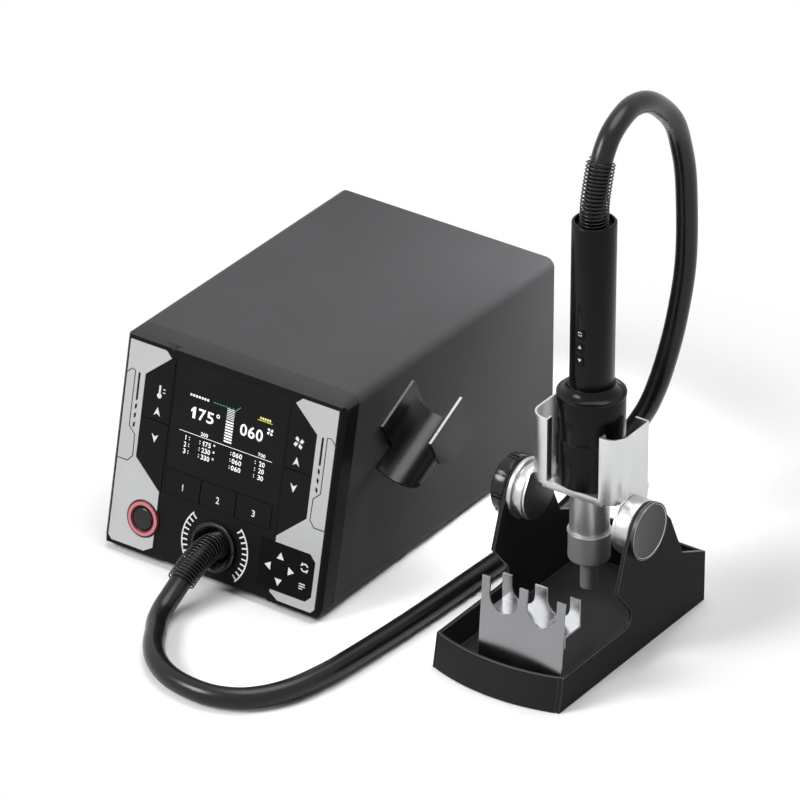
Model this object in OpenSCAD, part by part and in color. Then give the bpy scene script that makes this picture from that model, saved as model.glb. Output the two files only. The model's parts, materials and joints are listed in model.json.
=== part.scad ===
/* [Main unit] */
// Width of the main unit
body_w = 190; // [180:1:210]
// Height of the cover above its own underside
body_h = 158.6; // [154:0.2:172]
// Depth of the main unit along its underside
body_d = 292.8; // [280:0.2:320]
// Lean of the front panel back from the vertical, degrees
lean_a = 12.35; // [10:0.05:14]
// Depth of the front moulding, front to back
fascia_d = 17; // [16:0.5:22]
// Wall of the front moulding behind its face
face_wall = 3; // [2.4:0.1:3.4]
// Bevel around the front moulding
bevel = 3; // [1:0.5:4]
// Sheet thickness of the cover
sheet = 1.6; // [1.2:0.1:2]
// Thickness of the base plate
base_t = 1.5; // [1.2:0.1:2]
// Outer radius of the cover's folded corners
corner_r = 7; // [5:0.5:9]
// Width of the flange folded in along each bottom edge
flange_w = 15; // [12:1:20]
// Height of the rubber feet below the cover
foot_h = 4; // [3:0.5:6]
// Radius of the rubber feet
foot_r = 8; // [6:0.5:10]

/* [Front panel] */
// Margin of the silver trim plates from the panel's side and bottom edges
trim_edge = 4.5; // [3.5:0.5:5.5]
// Distance from the side at which the narrow part of the trim plates ends
trim_narrow = 20.3; // [19:0.1:22]
// Distance from the side at which the wide part of the trim plates ends
trim_wide = 43.5; // [43:0.1:44.3]
// Thickness of the trim plates
trim_t = 0.8; // [0.5:0.1:1.2]
// Left edge of the display window
window_x = 46; // [46:0.5:48]
// Bottom of the display window, up the slope
window_s = 72.5; // [72:0.5:75]
// Margin of the display window below the panel's top edge
window_top = 9.9; // [9:0.1:14]
// Thickness of the display window
window_t = 1.6; // [1:0.1:2]
// Thickness of the display module
display_t = 6; // [4:0.5:6]
// Height of the seam between the up and down keys, up the slope
seam_s = 102.5; // [98:0.5:106]
// Margin of the channel keys inside the window's left edge
channel_in = 1; // [0:0.5:3]
// Margin of the channel keys inside the window's right edge
channel_end = 4; // [1:0.5:5]
// Bottom of the channel keys, up the slope
channel_s = 53; // [52:0.5:56]
// Height of the channel keys along the slope
channel_h = 18.5; // [14:0.5:18.5]
// How far the keys stand proud of the panel
key_proud = 0.3; // [0:0.1:0.8]
// Travel of the panel keys
key_travel = 0.8; // [0.4:0.1:1]
// Centre of the power button from the side
power_x = 32.6; // [30:0.2:34]
// Centre of the power button up the slope
power_s = 28; // [26:0.5:31]
// Outer radius of the power button's ring
ring_r = 14; // [12:0.5:15]
// Radius of the power button
power_r = 8.3; // [7:0.1:9]
// Travel of the power button
power_travel = 1.6; // [1:0.1:2]

/* [Air outlet] */
// Centre of the air outlet from the left side
outlet_x = 95.5; // [90:0.5:100]
// Centre of the air outlet up the slope
outlet_s = 26.5; // [25:0.5:29]
// Outer radius of the outlet collar
collar_r = 18.8; // [17:0.2:20]
// How far the collar stands proud of the panel
collar_h = 4; // [3:0.5:6]
// Diameter of the air hose
hose_d = 15.6; // [14:0.1:16]
// Outer radius of the coil springs that guard the hose
spring_r = 10.3; // [9.8:0.1:11]
// Wire of the coil springs
spring_wire = 1.3; // [1:0.1:1.6]
// Pitch of the coil springs
spring_pitch = 2.6; // [2.4:0.1:3.4]
// Turns of the spring at the outlet
outlet_turns = 18; // [14:1:20]

/* [Inside the unit] */
// Radius of the blower's impeller
impeller_r = 34; // [28:1:36]
// Height of the impeller
impeller_h = 24; // [18:1:26]
// Number of impeller blades
blades = 16; // [10:1:20]
// Depth of the blower's centre behind the front edge
blower_y = 190; // [180:1:200]
// Wall of the blower housing
blower_wall = 2; // [1.6:0.1:3]
// Radius of the blower motor
motor_r = 20; // [16:1:24]
// Height of the blower motor
motor_h = 32; // [26:1:40]
// Width of the transformer's core
core_w = 54; // [44:1:56]
// Height of the transformer's core
core_h = 46; // [40:1:54]
// Length of the power board
power_board_l = 96; // [80:1:104]
// Gap between the blower's duct and the power board
board_gap = 7.5; // [4:0.5:9]
// Thickness of the circuit boards
board_t = 1.6; // [1.2:0.1:2]
// Height of the stand-offs under the power board
standoff_h = 8; // [6:1:12]
// Number of fins on the heat sink
fins = 7; // [5:1:9]
// Width of the heat sink over its fins
sink_w = 26; // [22:1:28]
// Length of the heat sink
sink_l = 46; // [40:1:48]
// Height of the heat sink's fins above its base
fin_h = 22; // [16:1:26]

/* [Rear panel] */
// Thickness of the rear panel
rear_t = 1.5; // [1.2:0.1:2]
// Centre of the mains inlet from the right side
inlet_in = 46; // [40:1:60]
// Centre height of the mains inlet above the cover's underside
inlet_z = 34; // [30:1:50]
// Rows of cooling slots
vent_rows = 7; // [4:1:9]
// Length of one cooling slot
vent_l = 52; // [40:1:56]

/* [Side hook] */
// Width of the hook's trough
hook_w = 43; // [40:1:46]
// Length of the hook's straight upper rims
hook_l = 39; // [34:1:44]
// Slope of the hook down to the front, degrees
hook_a = 27; // [20:1:32]
// Thickness of the hook's sheet
hook_t = 2; // [1.5:0.1:2.5]

/* [Stand] */
// Gap between the main unit and the stand
stand_gap = 95.7; // [92:0.1:100]
// Width of the stand's tray
tray_w = 105.9; // [105.5:0.1:110]
// Depth of the stand's tray along its sides
tray_d = 183.7; // [180:0.1:190]
// Height of the tray's front corners above the bench
tray_front_h = 26.2; // [24:0.1:28]
// Height of the tray's rear wall above the bench
tray_rear_h = 40; // [36:0.5:44]
// Thickness of the stand's side plates
plate_t = 3; // [2:0.5:3]
// Thickness of the tray's floor and walls
tray_t = 2; // [1.5:0.1:2.5]
// Forward bow of the tray's front wall at its middle
front_bow = 9.5; // [6:0.5:11]
// Height of the rubber pads under the tray's floor
pad_h = 1.5; // [1:0.1:2]
// Depth of the cradle's pivot behind the main unit's front edge
pivot_y = 109; // [108:0.5:110]
// Height of the cradle's pivot above the bench
pivot_z = 95; // [94:0.5:98]
// Radius of the side plates around the pivot
plate_r = 20; // [18:0.5:22]
// Radius of the round drums beside the cradle
drum_r = 21; // [19:0.5:21]
// Length of the nuts on the pivot
nut_t = 3.2; // [2.6:0.2:3.6]
// Radius of the pivot bolt and of the knob's stud
bolt_r = 4; // [3:0.5:5]
// Thickness of the disc on the right side plate
disc_t = 3; // [2:0.5:4]
// Radius of the star knob over its ribs
knob_r = 22.5; // [20:0.5:24]
// Number of paired ribs around the star knob
knob_ribs = 8; // [6:1:10]
// Thickness of the star knob
knob_t = 12; // [10:0.5:15]

/* [Nozzle rack] */
// Pitch of the rack's two nozzle notches
rack_pitch = 31; // [29:0.5:32]
// Radius of the rack's nozzle notches
notch_r = 12.25; // [11:0.25:12.5]
// Height of the rack's front plate
rack_h = 78; // [70:0.5:82]
// Sheet thickness of the rack
rack_t = 1.5; // [1.2:0.1:2]

/* [Cradle] */
// Half width of the cradle over its uprights
cradle_half = 38; // [36:0.5:38]
// Thickness of the cradle's sheet
cradle_t = 1.5; // [1.2:0.1:2]
// Reach of the cradle's sheet in front of the handpiece's axis
cradle_fore = 22.5; // [20:0.5:24]
// Reach of the cradle's sheet behind the handpiece's axis
cradle_aft = 17; // [15:0.5:19]
// Outer radius of the cradle's rolled front corners
cradle_bend = 13; // [10:0.5:13]
// Height of the lip folded down along the seat's front edge
lip_h = 5.5; // [4:0.5:7]
// Height of the cradle's seat above the bench
seat_z = 116; // [114:0.5:120]
// Height of the cradle's uprights above the seat
upright_h = 49; // [44:0.5:54]
// Depth of the handpiece's axis behind the main unit's front edge
hand_y = 117.5; // [117:0.5:118.5]

/* [Handpiece] */
// Radius of the heat sleeve
sleeve_r = 24.2; // [22:0.1:25]
// Length of the heat sleeve
sleeve_l = 67.5; // [60:0.5:76]
// Radius of the handle
handle_r = 15.7; // [14.8:0.1:17]
// Length of the handle above its flared foot
handle_l = 126; // [116:1:140]
// Height of the handle's flared foot
flare_h = 8.5; // [6:0.5:12]
// Radius of the heater tube
heater_r = 14.2; // [13:0.1:14.6]
// Length of the heater tube below the seat
heater_l = 60; // [56:0.5:64]
// Radius of the nozzle's clamp band
clamp_r = 15.1; // [15.1:0.1:16]
// Height of the nozzle's clamp band
clamp_h = 22.6; // [18:0.2:26]
// Radius of the nozzle's tip
tip_r = 6.15; // [4:0.05:8]
// Length of the nozzle's tip
tip_l = 23.7; // [18:0.1:28]
// Height of the lowest handle key above the handle's foot
hand_key_z = 23.7; // [18:0.1:40]
// Pitch of the three handle keys
hand_key_pitch = 10.5; // [9:0.1:12]
// Travel of the handle keys
hand_key_travel = 0.5; // [0.3:0.1:0.8]
// Turns of the spring at the handle
handle_turns = 18; // [14:1:22]

/* [Hidden] */

// Clearance around a sliding key or button
key_gap = 0.35;
// Clearance between pieces of different moving bodies
run_gap = 0.3;
// Radial clearance of a shaft in its bore
shaft_gap = 0.05;
// Depth left free behind a nut, a pin or a stop
end_gap = 0.5;
// Clearance of a fixed piece in its opening
fit = 0.15;
// A little more, for cuts that pass right through
eps = 1;
// Depth by which the forms of one piece run into each other
bite = 0.5;

// Length of the front panel up its slope
face_len = body_h / cos(lean_a);
// Inner faces of the cover
inner_w = body_w - 2 * sheet;
inner_r = corner_r - sheet;

// Heights of the display, the boards and the key flanges behind the panel's face
display_w0 = -face_wall;
board_w = display_w0 - display_t;
key_flange_t = 1.4;
switch_h = 1.2;

// Slope positions of the trim plates' corners
trim_low = 9;
trim_step = 51.5;
trim_rise = 71.5;
trim_fall = face_len - 27.9;
trim_top = face_len - 10.4;
trim_end = face_len - 5.9;

// Stand
tray_x = body_w + stand_gap;
tray_y = 2.3;
tray_cx = tray_x + tray_w / 2;
front_lean = 11;
floor_top = pad_h + tray_t;
inner_left = tray_x + plate_t;
inner_right = tray_x + tray_w - plate_t;
bow_r = (pow(tray_w / 2, 2) + pow(front_bow, 2)) / (2 * front_bow);

// Handpiece
hand_x = tray_cx;
sleeve_top = seat_z + sleeve_l;
handle_z = sleeve_top + flare_h;
handle_top = handle_z + handle_l;
handle_wall = 2;
tube_wall = 1;
cup_depth = 5;
clamp_top = seat_z - heater_l + 18;
clamp_z = clamp_top - clamp_h;

// The row of pieces is centred over its own middle
outer_x = tray_x + tray_w + disc_t;
fuse_cap_h = 8;
mid_x = outer_x / 2;
mid_y = (tray_y - front_bow + body_d + fuse_cap_h) / 2;

// Route of the air hose from the outlet along the bench, up behind the stand and over to the handle
seat_w = -5;
outlet_dir = [0, -cos(lean_a), sin(lean_a)];
outlet_at = [outlet_x - mid_x, outlet_s * sin(lean_a) - mid_y, outlet_s * cos(lean_a) + foot_h];
hose_start = outlet_at + seat_w * outlet_dir;
hose_end = [hand_x - mid_x, hand_y - mid_y, handle_top - cup_depth];
route = [
    hose_start, outlet_at + 8 * outlet_dir,
    [-102, -163, 29], [-102, -177, 23], [-102, -190, 16], [-101, -204, 10], [-96, -217, 8],
    [-89, -228, 8], [-78, -245, 8], [-64, -259, 8], [-46, -269, 8], [-26, -273, 8], [-7, -272, 8],
    [11, -264, 8], [24, -250, 8], [33, -232, 8], [39, -209, 8], [43, -182, 8], [49, -112, 8],
    [53, -21, 8], [55, 22, 8], [58, 52, 11], [63, 76, 21], [71, 92, 38], [82, 99, 59],
    [95, 100, 81], [108, 99, 106], [119, 99, 140], [126, 103, 180], [130, 106, 227], [131, 102, 288],
    [132, 92, 323], [134, 79, 346], [135, 60, 365], [137, 40, 378], [138, 21, 383], [140, 4, 382],
    [141, -11, 375], [hose_end[0], -21, 362], [hose_end[0], -26, 346], [hose_end[0], hose_end[1], 330],
    hose_end
];
// Route points at which one length of the hose's tube meets the next
rise_from = 21;
top_from = 29;

function unit_vec(v) = v / norm(v);

// A simple polygon, listed anticlockwise, with every edge moved in by d
function inset(p, d) = let (n = len(p)) [
    for (i = [0 : n - 1])
        let (
            a = unit_vec(p[i] - p[(i + n - 1) % n]),
            b = unit_vec(p[(i + 1) % n] - p[i]),
            na = [-a[1], a[0]],
            nb = [-b[1], b[0]]
        )
        p[i] + d * (na + nb) / (1 + na * nb)
];

// Point on a circle where the line from q touches it; side is 1 or -1
function touch(c, r, q, side) = let (
    v = q - c,
    a = atan2(v[1], v[0]) + side * acos(r / norm(v))
) c + r * [cos(a), sin(a)];

// Point at position u along a smooth curve through the points p
function along(p, u) = let (
    i = min(floor(u), len(p) - 2),
    t = u - i,
    b = p[i],
    c = p[i + 1],
    a = i > 0 ? p[i - 1] : 2 * b - c,
    d = i + 2 < len(p) ? p[i + 2] : 2 * c - b
) 0.5 * (2 * b + (c - a) * t + (2 * a - 5 * b + 4 * c - d) * t * t + (3 * b - a - 3 * c + d) * t * t * t);

// Direction of that curve at position u
function heading(p, u) = unit_vec(along(p, min(u + 0.02, len(p) - 1)) - along(p, max(u - 0.02, 0)));

// Side vectors carried along a list of directions without twisting
function carried(t, first) = [
    for (
        i = 0, n = unit_vec(first - (first * t[0]) * t[0]);
        i < len(t);
        i = i + 1, n = let (k = t[min(i, len(t) - 1)]) unit_vec(n - (n * k) * k)
    ) n
];

// Closed tube of radius r with the given number of sides; the ends lie square to the first and last direction
module sweep(points, dirs, sides_of, r, sides) {
    n = len(points);
    rings = [
        for (i = [0 : n - 1])
            let (a = sides_of[i], b = cross(dirs[i], a))
            for (k = [0 : sides - 1])
                points[i] + r * (cos(360 * k / sides) * a + sin(360 * k / sides) * b)
    ];
    walls = [
        for (i = [0 : n - 2])
            for (k = [0 : sides - 1])
                let (m = (k + 1) % sides)
                for (f = [
                    [i * sides + k, (i + 1) * sides + m, i * sides + m],
                    [i * sides + k, (i + 1) * sides + k, (i + 1) * sides + m]
                ]) f
    ];
    cap_a = [for (k = [0 : sides - 1]) k];
    cap_b = [for (k = [sides - 1 : -1 : 0]) (n - 1) * sides + k];
    polyhedron(concat([for (v = rings) v]), concat(walls, [cap_a, cap_b]));
}

// One length of hose between two route points
module hose(from, to, steps) {
    us = [for (i = [from : to - 1]) for (k = [0 : steps - 1]) i + k / steps];
    u = concat(us, [to]);
    pts = [for (v = u) along(route, v)];
    t = [for (v = u) heading(route, v)];
    sweep(pts, t, carried(t, [1, 0, 0.2]), hose_d / 2, 10);
}

// Coil of wire around a path given by its points, directions and side vectors
module coil(path, t, side, turns, per_turn) {
    n = turns * per_turn;
    m = len(path) - 1;
    wind = spring_r - spring_wire / 2;
    at = [
        for (i = [0 : n])
            let (u = m * i / n, k = min(floor(u), m - 1), f = u - k)
            let (
                c = path[k] * (1 - f) + path[k + 1] * f,
                d = unit_vec(t[k] * (1 - f) + t[k + 1] * f),
                a = unit_vec(side[k] * (1 - f) + side[k + 1] * f),
                w = 360 * i / per_turn
            )
            [c, d, cos(w) * a + sin(w) * cross(d, a)]
    ];
    pts = [for (v = at) v[0] + wind * v[2]];
    dirs = [
        for (i = [0 : n])
            unit_vec(pts[min(i + 1, n)] - pts[max(i - 1, 0)])
    ];
    outs = [for (i = [0 : n]) unit_vec(at[i][2] - (at[i][2] * dirs[i]) * dirs[i])];
    sweep(pts, dirs, outs, spring_wire / 2, 6);
}

// Frames: the main unit's own corner, its sloping face, and the bench under the stand
module unit() { translate([-mid_x, -mid_y, foot_h]) children(); }
module face() { unit() rotate([90 - lean_a, 0, 0]) children(); }
module bench() { translate([-mid_x, -mid_y, 0]) children(); }
module hand(z = 0) { bench() translate([hand_x, hand_y, z]) children(); }
// A child drawn for the left half of the panel, turned over to the right half
module right_half() { translate([body_w, 0, 0]) mirror([1, 0, 0]) children(); }
// A block on the sloping face: outline p, from depth w0 to w1 measured out of the face
module on_face(p, w0, w1) { translate([0, 0, w0]) linear_extrude(w1 - w0) polygon(p); }
// A disc or bore square to the sloping face
module face_disc(x, s, r, w0, w1) { translate([x, s, w0]) cylinder(r = r, h = w1 - w0, $fn = 64); }

// Rectangle with round corners, as exact arcs
module round_rect(w, h, r) {
    translate([r, 0]) square([w - 2 * r, h]);
    translate([0, r]) square([w, h - 2 * r]);
    for (x = [r, w - r])
        for (y = [r, h - r])
            translate([x, y]) circle(r, $fn = 48);
}

// Side view of a slab that follows the panel's lean, from depth a to depth b behind the bottom front edge
module leaning_slab(a, b, z0, z1, x0, x1) {
    translate([x0, 0, 0]) rotate([90, 0, 90]) linear_extrude(x1 - x0) polygon([
        [a + z0 * tan(lean_a), z0], [b + z0 * tan(lean_a), z0],
        [b + z1 * tan(lean_a), z1], [a + z1 * tan(lean_a), z1]
    ]);
}

// Part of the unit behind the seam of the front moulding
module behind_seam() {
    rotate([90, 0, 90]) linear_extrude(body_w) polygon([
        [fascia_d, 0], [body_d, 0], [body_d, body_h], [fascia_d + body_h * tan(lean_a), body_h]
    ]);
}

// Outlines on the left half of the panel
left_trim = [
    [trim_edge + 3, trim_edge], [trim_wide - 7.5, trim_edge], [trim_wide, trim_low], [trim_wide, trim_step],
    [trim_narrow, trim_rise], [trim_narrow, trim_fall], [trim_wide - 2.5, trim_top],
    [trim_wide - 7.5, trim_end], [trim_edge, trim_end], [trim_edge, trim_edge + 3]
];
pad_low = 11;
pad_high = 46.8;
pad_in = 8.5;
pad_end = 56;
pad_cut = 5;
pad_outline = [
    [pad_end, pad_low], [pad_end, pad_high], [pad_in + pad_cut, pad_high], [pad_in, pad_high - pad_cut],
    [pad_in, pad_low + pad_cut], [pad_in + pad_cut, pad_low]
];
key_side = 44.8;
up_outline = [
    [trim_narrow, seam_s], [key_side, seam_s], [key_side, trim_top], [trim_wide - 2.5, trim_top],
    [trim_narrow, trim_fall]
];
down_outline = [
    [trim_wide, trim_step], [key_side, trim_step], [key_side, seam_s], [trim_narrow, seam_s],
    [trim_narrow, trim_rise]
];
up_centre = [33.2, (seam_s + trim_fall) / 2 - 2];
down_centre = [33.6, (seam_s + trim_rise) / 2 + 1];
window_w = body_w - 2 * window_x;
window_h = face_len - window_s - window_top;
channel_x = window_x + channel_in;
channel_pitch = (window_w - channel_in - channel_end) / 3;
function box_outline(x, y, w, h) = [[x, y], [x + w, y], [x + w, y + h], [x, y + h]];
window_outline = box_outline(window_x, window_s, window_w, window_h);
channel_outline = box_outline(channel_x, channel_s, 3 * channel_pitch, channel_h);
function channel_cell(i) = box_outline(channel_x + i * channel_pitch, channel_s, channel_pitch, channel_h);
dome_spots = [[37.9, 37.2], [47.9, 27.5], [28.2, 28.1], [37.5, 17.6], [17.2, 35.1], [17.5, 21]];

module housing_cover() {
    color("#4a4b4d") unit() intersection() {
        translate([0, body_d, 0]) rotate([90, 0, 0]) linear_extrude(body_d) difference() {
            round_rect(body_w, body_h, corner_r);
            translate([sheet, sheet]) round_rect(inner_w, body_h - 2 * sheet, inner_r);
            translate([flange_w, -eps]) square([body_w - 2 * flange_w, sheet + 2 * eps]);
        }
        behind_seam();
    }
}

module base_chassis() {
    y0 = fascia_d + sheet * tan(lean_a) + 1;
    x0 = sheet + fit + inner_r;
    post_r = 3;
    slot_l = 48;
    color("#9a9c9f") unit() difference() {
        union() {
            translate([x0, y0, sheet]) cube([body_w - 2 * x0, body_d - rear_t - y0, base_t]);
            for (x = board_post_x) for (y = board_post_y)
                translate([x, y, sheet]) cylinder(r = post_r, h = base_t + standoff_h, $fn = 24);
            for (a = [45 : 90 : 315])
                blower_at(sheet) rotate(a) translate([blower_foot, 0, 0])
                    cylinder(r = post_r + 0.5, h = base_t + blower_lift, $fn = 24);
        }
        for (i = [-1.5 : 1.5])
            translate([blower_x - 4.5 + 12 * i, blower_y - slot_l / 2, 0])
                round_slot(5, slot_l, sheet + base_t + 2 * eps);
    }
}

// A slot with round ends cut down through a plate
module round_slot(w, l, h) {
    linear_extrude(h) {
        translate([-w / 2, w / 2]) square([w, l - w]);
        for (y = [w / 2, l - w / 2]) translate([0, y]) circle(w / 2, $fn = 24);
    }
}

inlet_x = body_w - inlet_in;
fuse_x = inlet_x - 46;
fuse_r = 6.15;
vent_x = 16;
vent_z = 74;
vent_w = 3.4;
vent_pitch = 9;
rear_w0 = sheet + fit;
// Appliance inlet: half sizes of its body, its flange and its socket, and the spread of its screws
inlet_half = [13.4, 9.8];
inlet_flange = [25, 11.3];
inlet_flange_t = 2.5;
socket_half = [12.2, 8.3];
screw_half = 20;
screw_r = 1.6;

module rear_panel() {
    color("#5b5d60") unit() translate([0, body_d, 0]) rotate([90, 0, 0]) difference() {
        linear_extrude(rear_t) translate([rear_w0, rear_w0])
            round_rect(body_w - 2 * rear_w0, body_h - 2 * rear_w0, inner_r - fit);
        translate([inlet_x - inlet_half[0] - fit, inlet_z - inlet_half[1] - fit, -eps])
            cube([2 * (inlet_half[0] + fit), 2 * (inlet_half[1] + fit), rear_t + 2 * eps]);
        translate([fuse_x, inlet_z, -eps]) cylinder(r = fuse_r + fit, h = rear_t + 2 * eps, $fn = 48);
        for (x = [vent_x + vent_l, body_w - vent_x]) for (i = [0 : vent_rows - 1])
            translate([x, vent_z + i * vent_pitch, -eps])
                rotate([0, 0, 90]) round_slot(vent_w, vent_l, rear_t + 2 * eps);
    }
}

// A block centred over the origin, given by its half sizes and its height
module half_block(half, h) {
    translate([-half[0], -half[1], 0]) cube([2 * half[0], 2 * half[1], h]);
}

module mains_inlet() {
    pin_l = 14;
    socket_d = 14.5;
    color("#1c1c1d") unit() translate([inlet_x, body_d, inlet_z]) rotate([90, 0, 0]) {
        difference() {
            union() {
                translate([0, 0, -inlet_flange_t]) half_block(inlet_flange, inlet_flange_t);
                translate([0, 0, -bite]) half_block(inlet_half, socket_d + 5.5 + bite);
            }
            translate([0, 0, -inlet_flange_t - eps]) half_block(socket_half, inlet_flange_t + socket_d + eps);
            for (x = [-screw_half, screw_half])
                translate([x, 0, -inlet_flange_t - eps])
                    cylinder(r = screw_r + fit, h = inlet_flange_t + 2 * eps, $fn = 24);
        }
        for (p = [[-7, 1], [7, 1], [0, 5]])
            translate([p[0], p[1], socket_d - pin_l]) half_block([1, 2], pin_l + 2);
    }
}

module fuse_holder() {
    color("#1c1c1d") unit() translate([fuse_x, body_d, inlet_z]) rotate([90, 0, 0]) {
        translate([0, 0, -2]) cylinder(r = fuse_r + 2.4, h = 2, $fn = 48);
        translate([0, 0, -fuse_cap_h]) cylinder(r = fuse_r + 0.4, h = fuse_cap_h - bite, $fn = 48);
        translate([0, 0, -bite]) cylinder(r = fuse_r, h = 30 + bite, $fn = 48);
        translate([0, 0, rear_t]) cylinder(r = 9, h = 2.5, $fn = 6);
    }
}

module front_fascia() {
    back = face_wall / cos(lean_a);
    rim = 2.6;
    step_h = 2.4;
    color("#2a2a2c") unit() difference() {
        intersection() {
            leaning_slab(0, fascia_d, 0, body_h, 0, body_w);
            translate([0, body_d, 0]) rotate([90, 0, 0]) linear_extrude(2 * body_d)
                round_rect(body_w, body_h, corner_r);
            rotate([90 - lean_a, 0, 0]) translate([0, -20, 0]) rotate([-90, 0, 0])
                linear_extrude(face_len + 40) polygon([
                    [0, bevel], [bevel, 0], [body_w - bevel, 0], [body_w, bevel], [body_w, 30], [0, 30]
                ]);
            rotate([90 - lean_a, 0, 0]) rotate([90, 0, 90]) linear_extrude(body_w) polygon([
                [0, -bevel], [bevel / 2, 0], [face_len - bevel, 0], [face_len, -bevel], [face_len + 9, -30],
                [-9, -30]
            ]);
        }
        leaning_slab(back, fascia_d + eps, rim + step_h, body_h - rim, rim, body_w - rim);
        // The bottom edge steps up between the trim plates
        translate([0, body_d, 0]) rotate([90, 0, 0]) linear_extrude(2 * body_d) polygon([
            [trim_wide - 1, -eps], [trim_wide + step_h, step_h], [body_w - trim_wide - step_h, step_h],
            [body_w - trim_wide + 1, -eps]
        ]);
        rotate([90 - lean_a, 0, 0]) {
            on_face(inset(window_outline, -fit), -window_t, eps);
            on_face(inset(window_outline, 3), -face_wall - eps, eps);
            on_face(channel_outline, -face_wall - eps, eps);
            on_face(up_outline, -face_wall - eps, eps);
            on_face(down_outline, -face_wall - eps, eps);
            right_half() on_face(up_outline, -face_wall - eps, eps);
            right_half() on_face(down_outline, -face_wall - eps, eps);
            face_disc(power_x, power_s, ring_r + fit, -face_wall - eps, eps);
            face_disc(outlet_x, outlet_s, collar_r - collar_lip, -face_wall - eps, eps);
            right_half() for (d = dome_spots) face_disc(d[0], d[1], dome_r + 0.8, -face_wall - eps, eps);
        }
    }
    color("#2a2a2c") face() for (p = post_spots)
        translate([p[0], p[1], board_w]) cylinder(r = 3, h = eps - face_wall - board_w, $fn = 24);
}
board_edge = 9;
board_low = channel_s + 1;
board_top = 12.4;
board_outline = box_outline(board_edge, board_low, body_w - 2 * board_edge, face_len - board_top - board_low);
post_spots = [
    for (x = [board_edge + 3, body_w - board_edge - 3])
        for (s = [board_low + 8, face_len - board_top - 4]) [x, s]
];

// A thin groove that follows a line of points
module groove(p, w) {
    for (i = [0 : len(p) - 2]) {
        v = p[i + 1] - p[i];
        translate(p[i]) rotate(atan2(v[1], v[0])) translate([0, -w / 2]) square([norm(v), w]);
        translate(p[i]) circle(w * 0.54, $fn = 12);
    }
}

module trim_plate(outline) {
    slot_x = 15.2;
    slot_half = 0.9;
    slot_s = 113;
    line_w = 0.8;
    difference() {
        on_face(outline, 0, trim_t);
        translate([0, 0, trim_t / 2]) linear_extrude(trim_t) groove([
            [trim_edge - 1, trim_fall - 4], [8.5, trim_fall + 0.8], [11.5, trim_fall], [11.5, 92.7],
            [17, 87.5], [17.4, trim_rise], [13.5, trim_rise - 4.7], [trim_edge - 1, trim_rise - 4.7]
        ], line_w);
        translate([0, 0, -eps]) linear_extrude(trim_t + 2 * eps) {
            translate([slot_x - slot_half, slot_s]) square([2 * slot_half, trim_fall - 0.5 - slot_s]);
            for (i = [1 : 3]) translate([slot_x, slot_s + 2.3 - 6.9 * i])
                polygon([[-slot_half, -2.6], [slot_half, -1], [slot_half, 2.6], [-slot_half, 1]]);
        }
    }
}

module left_trim_plate() {
    color("#c9cacb") face() difference() {
        trim_plate(left_trim);
        face_disc(power_x, power_s, ring_r + fit, -eps, trim_t + eps);
    }
}

module right_trim_plate() {
    arm_s = pad_low - fit;
    arm_cut = pad_in + pad_cut - fit;
    color("#c9cacb") face() right_half() trim_plate([
        [trim_edge + 3, trim_edge], [trim_wide - 7.5, trim_edge], [trim_wide, trim_low], [trim_wide, arm_s],
        [arm_cut, arm_s], [pad_in - fit, arm_s + pad_cut], [pad_in - fit, pad_high - pad_cut + fit],
        [arm_cut, pad_high + fit], [trim_wide, pad_high + fit], [trim_wide, trim_step],
        [trim_narrow, trim_rise], [trim_narrow, trim_fall], [trim_wide - 2.5, trim_top],
        [trim_wide - 7.5, trim_end], [trim_edge, trim_end], [trim_edge, trim_edge + 3]
    ]);
}

overlay_t = 0.4;
dome_r = 2.6;
module keypad_overlay() {
    color("#242426") face() right_half() on_face(pad_outline, 0, overlay_t);
}

module keypad_board() {
    color("#2f6b46") face() right_half() {
        on_face(inset(pad_outline, 2), -face_wall - board_t, -face_wall);
        for (d = dome_spots) face_disc(d[0], d[1], dome_r, -face_wall - bite, -overlay_t);
    }
}

module display_window() {
    color("#3a3a3d") face() on_face(window_outline, -window_t, 0);
}

module display_module() {
    color("#26282b") face() {
        on_face(inset(window_outline, 1), display_w0 - display_t, display_w0);
    }
    color("#6d7f8c") face() on_face(inset(window_outline, 6), display_w0 - eps, -window_t);
}

up_switch = up_centre;
down_switch = down_centre;
function channel_centre(i) = [channel_x + (i + 0.5) * channel_pitch, channel_s + channel_h / 2];

module board_switch(p) { face_disc(p[0], p[1], 3, board_w - bite, board_w + switch_h); }

module control_board() {
    color("#2f6b46") face() on_face(board_outline, board_w - board_t, board_w);
    chip_t = 3;
    color("#c8c8c4") face() {
        for (p = [up_switch, down_switch]) {
            board_switch(p);
            right_half() board_switch(p);
        }
        for (i = [0 : 2]) board_switch(channel_centre(i));
    }
    color("#222222") face() for (p = [[-35, 37, 16, 16], [5, 17, 22, 14], [-11, 55, 30, 6]])
        translate([body_w / 2 + p[0], window_s + p[1], board_w - board_t - chip_t])
            cube([p[2], p[3], chip_t + bite]);
}

up_side = box_outline(0, seam_s + key_gap, body_w, face_len);
down_side = box_outline(0, 0, body_w, seam_s - key_gap);
function channel_side(i) =
    box_outline(channel_x + i * channel_pitch + key_gap, 0, channel_pitch - 2 * key_gap, face_len);

// A key: its cap fills the outline, its flange stays behind the panel on its own side of the seams,
// and its stem reaches to the switch
module panel_key(outline, centre, side) {
    flange_top = -face_wall - run_gap;
    on_face(inset(outline, key_gap), flange_top - key_flange_t, key_proud);
    translate([0, 0, flange_top - key_flange_t]) linear_extrude(key_flange_t) intersection() {
        polygon(inset(outline, -1.2));
        polygon(side);
    }
    face_disc(centre[0], centre[1], 2, board_w + switch_h + key_travel + run_gap, flange_top);
}

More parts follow.
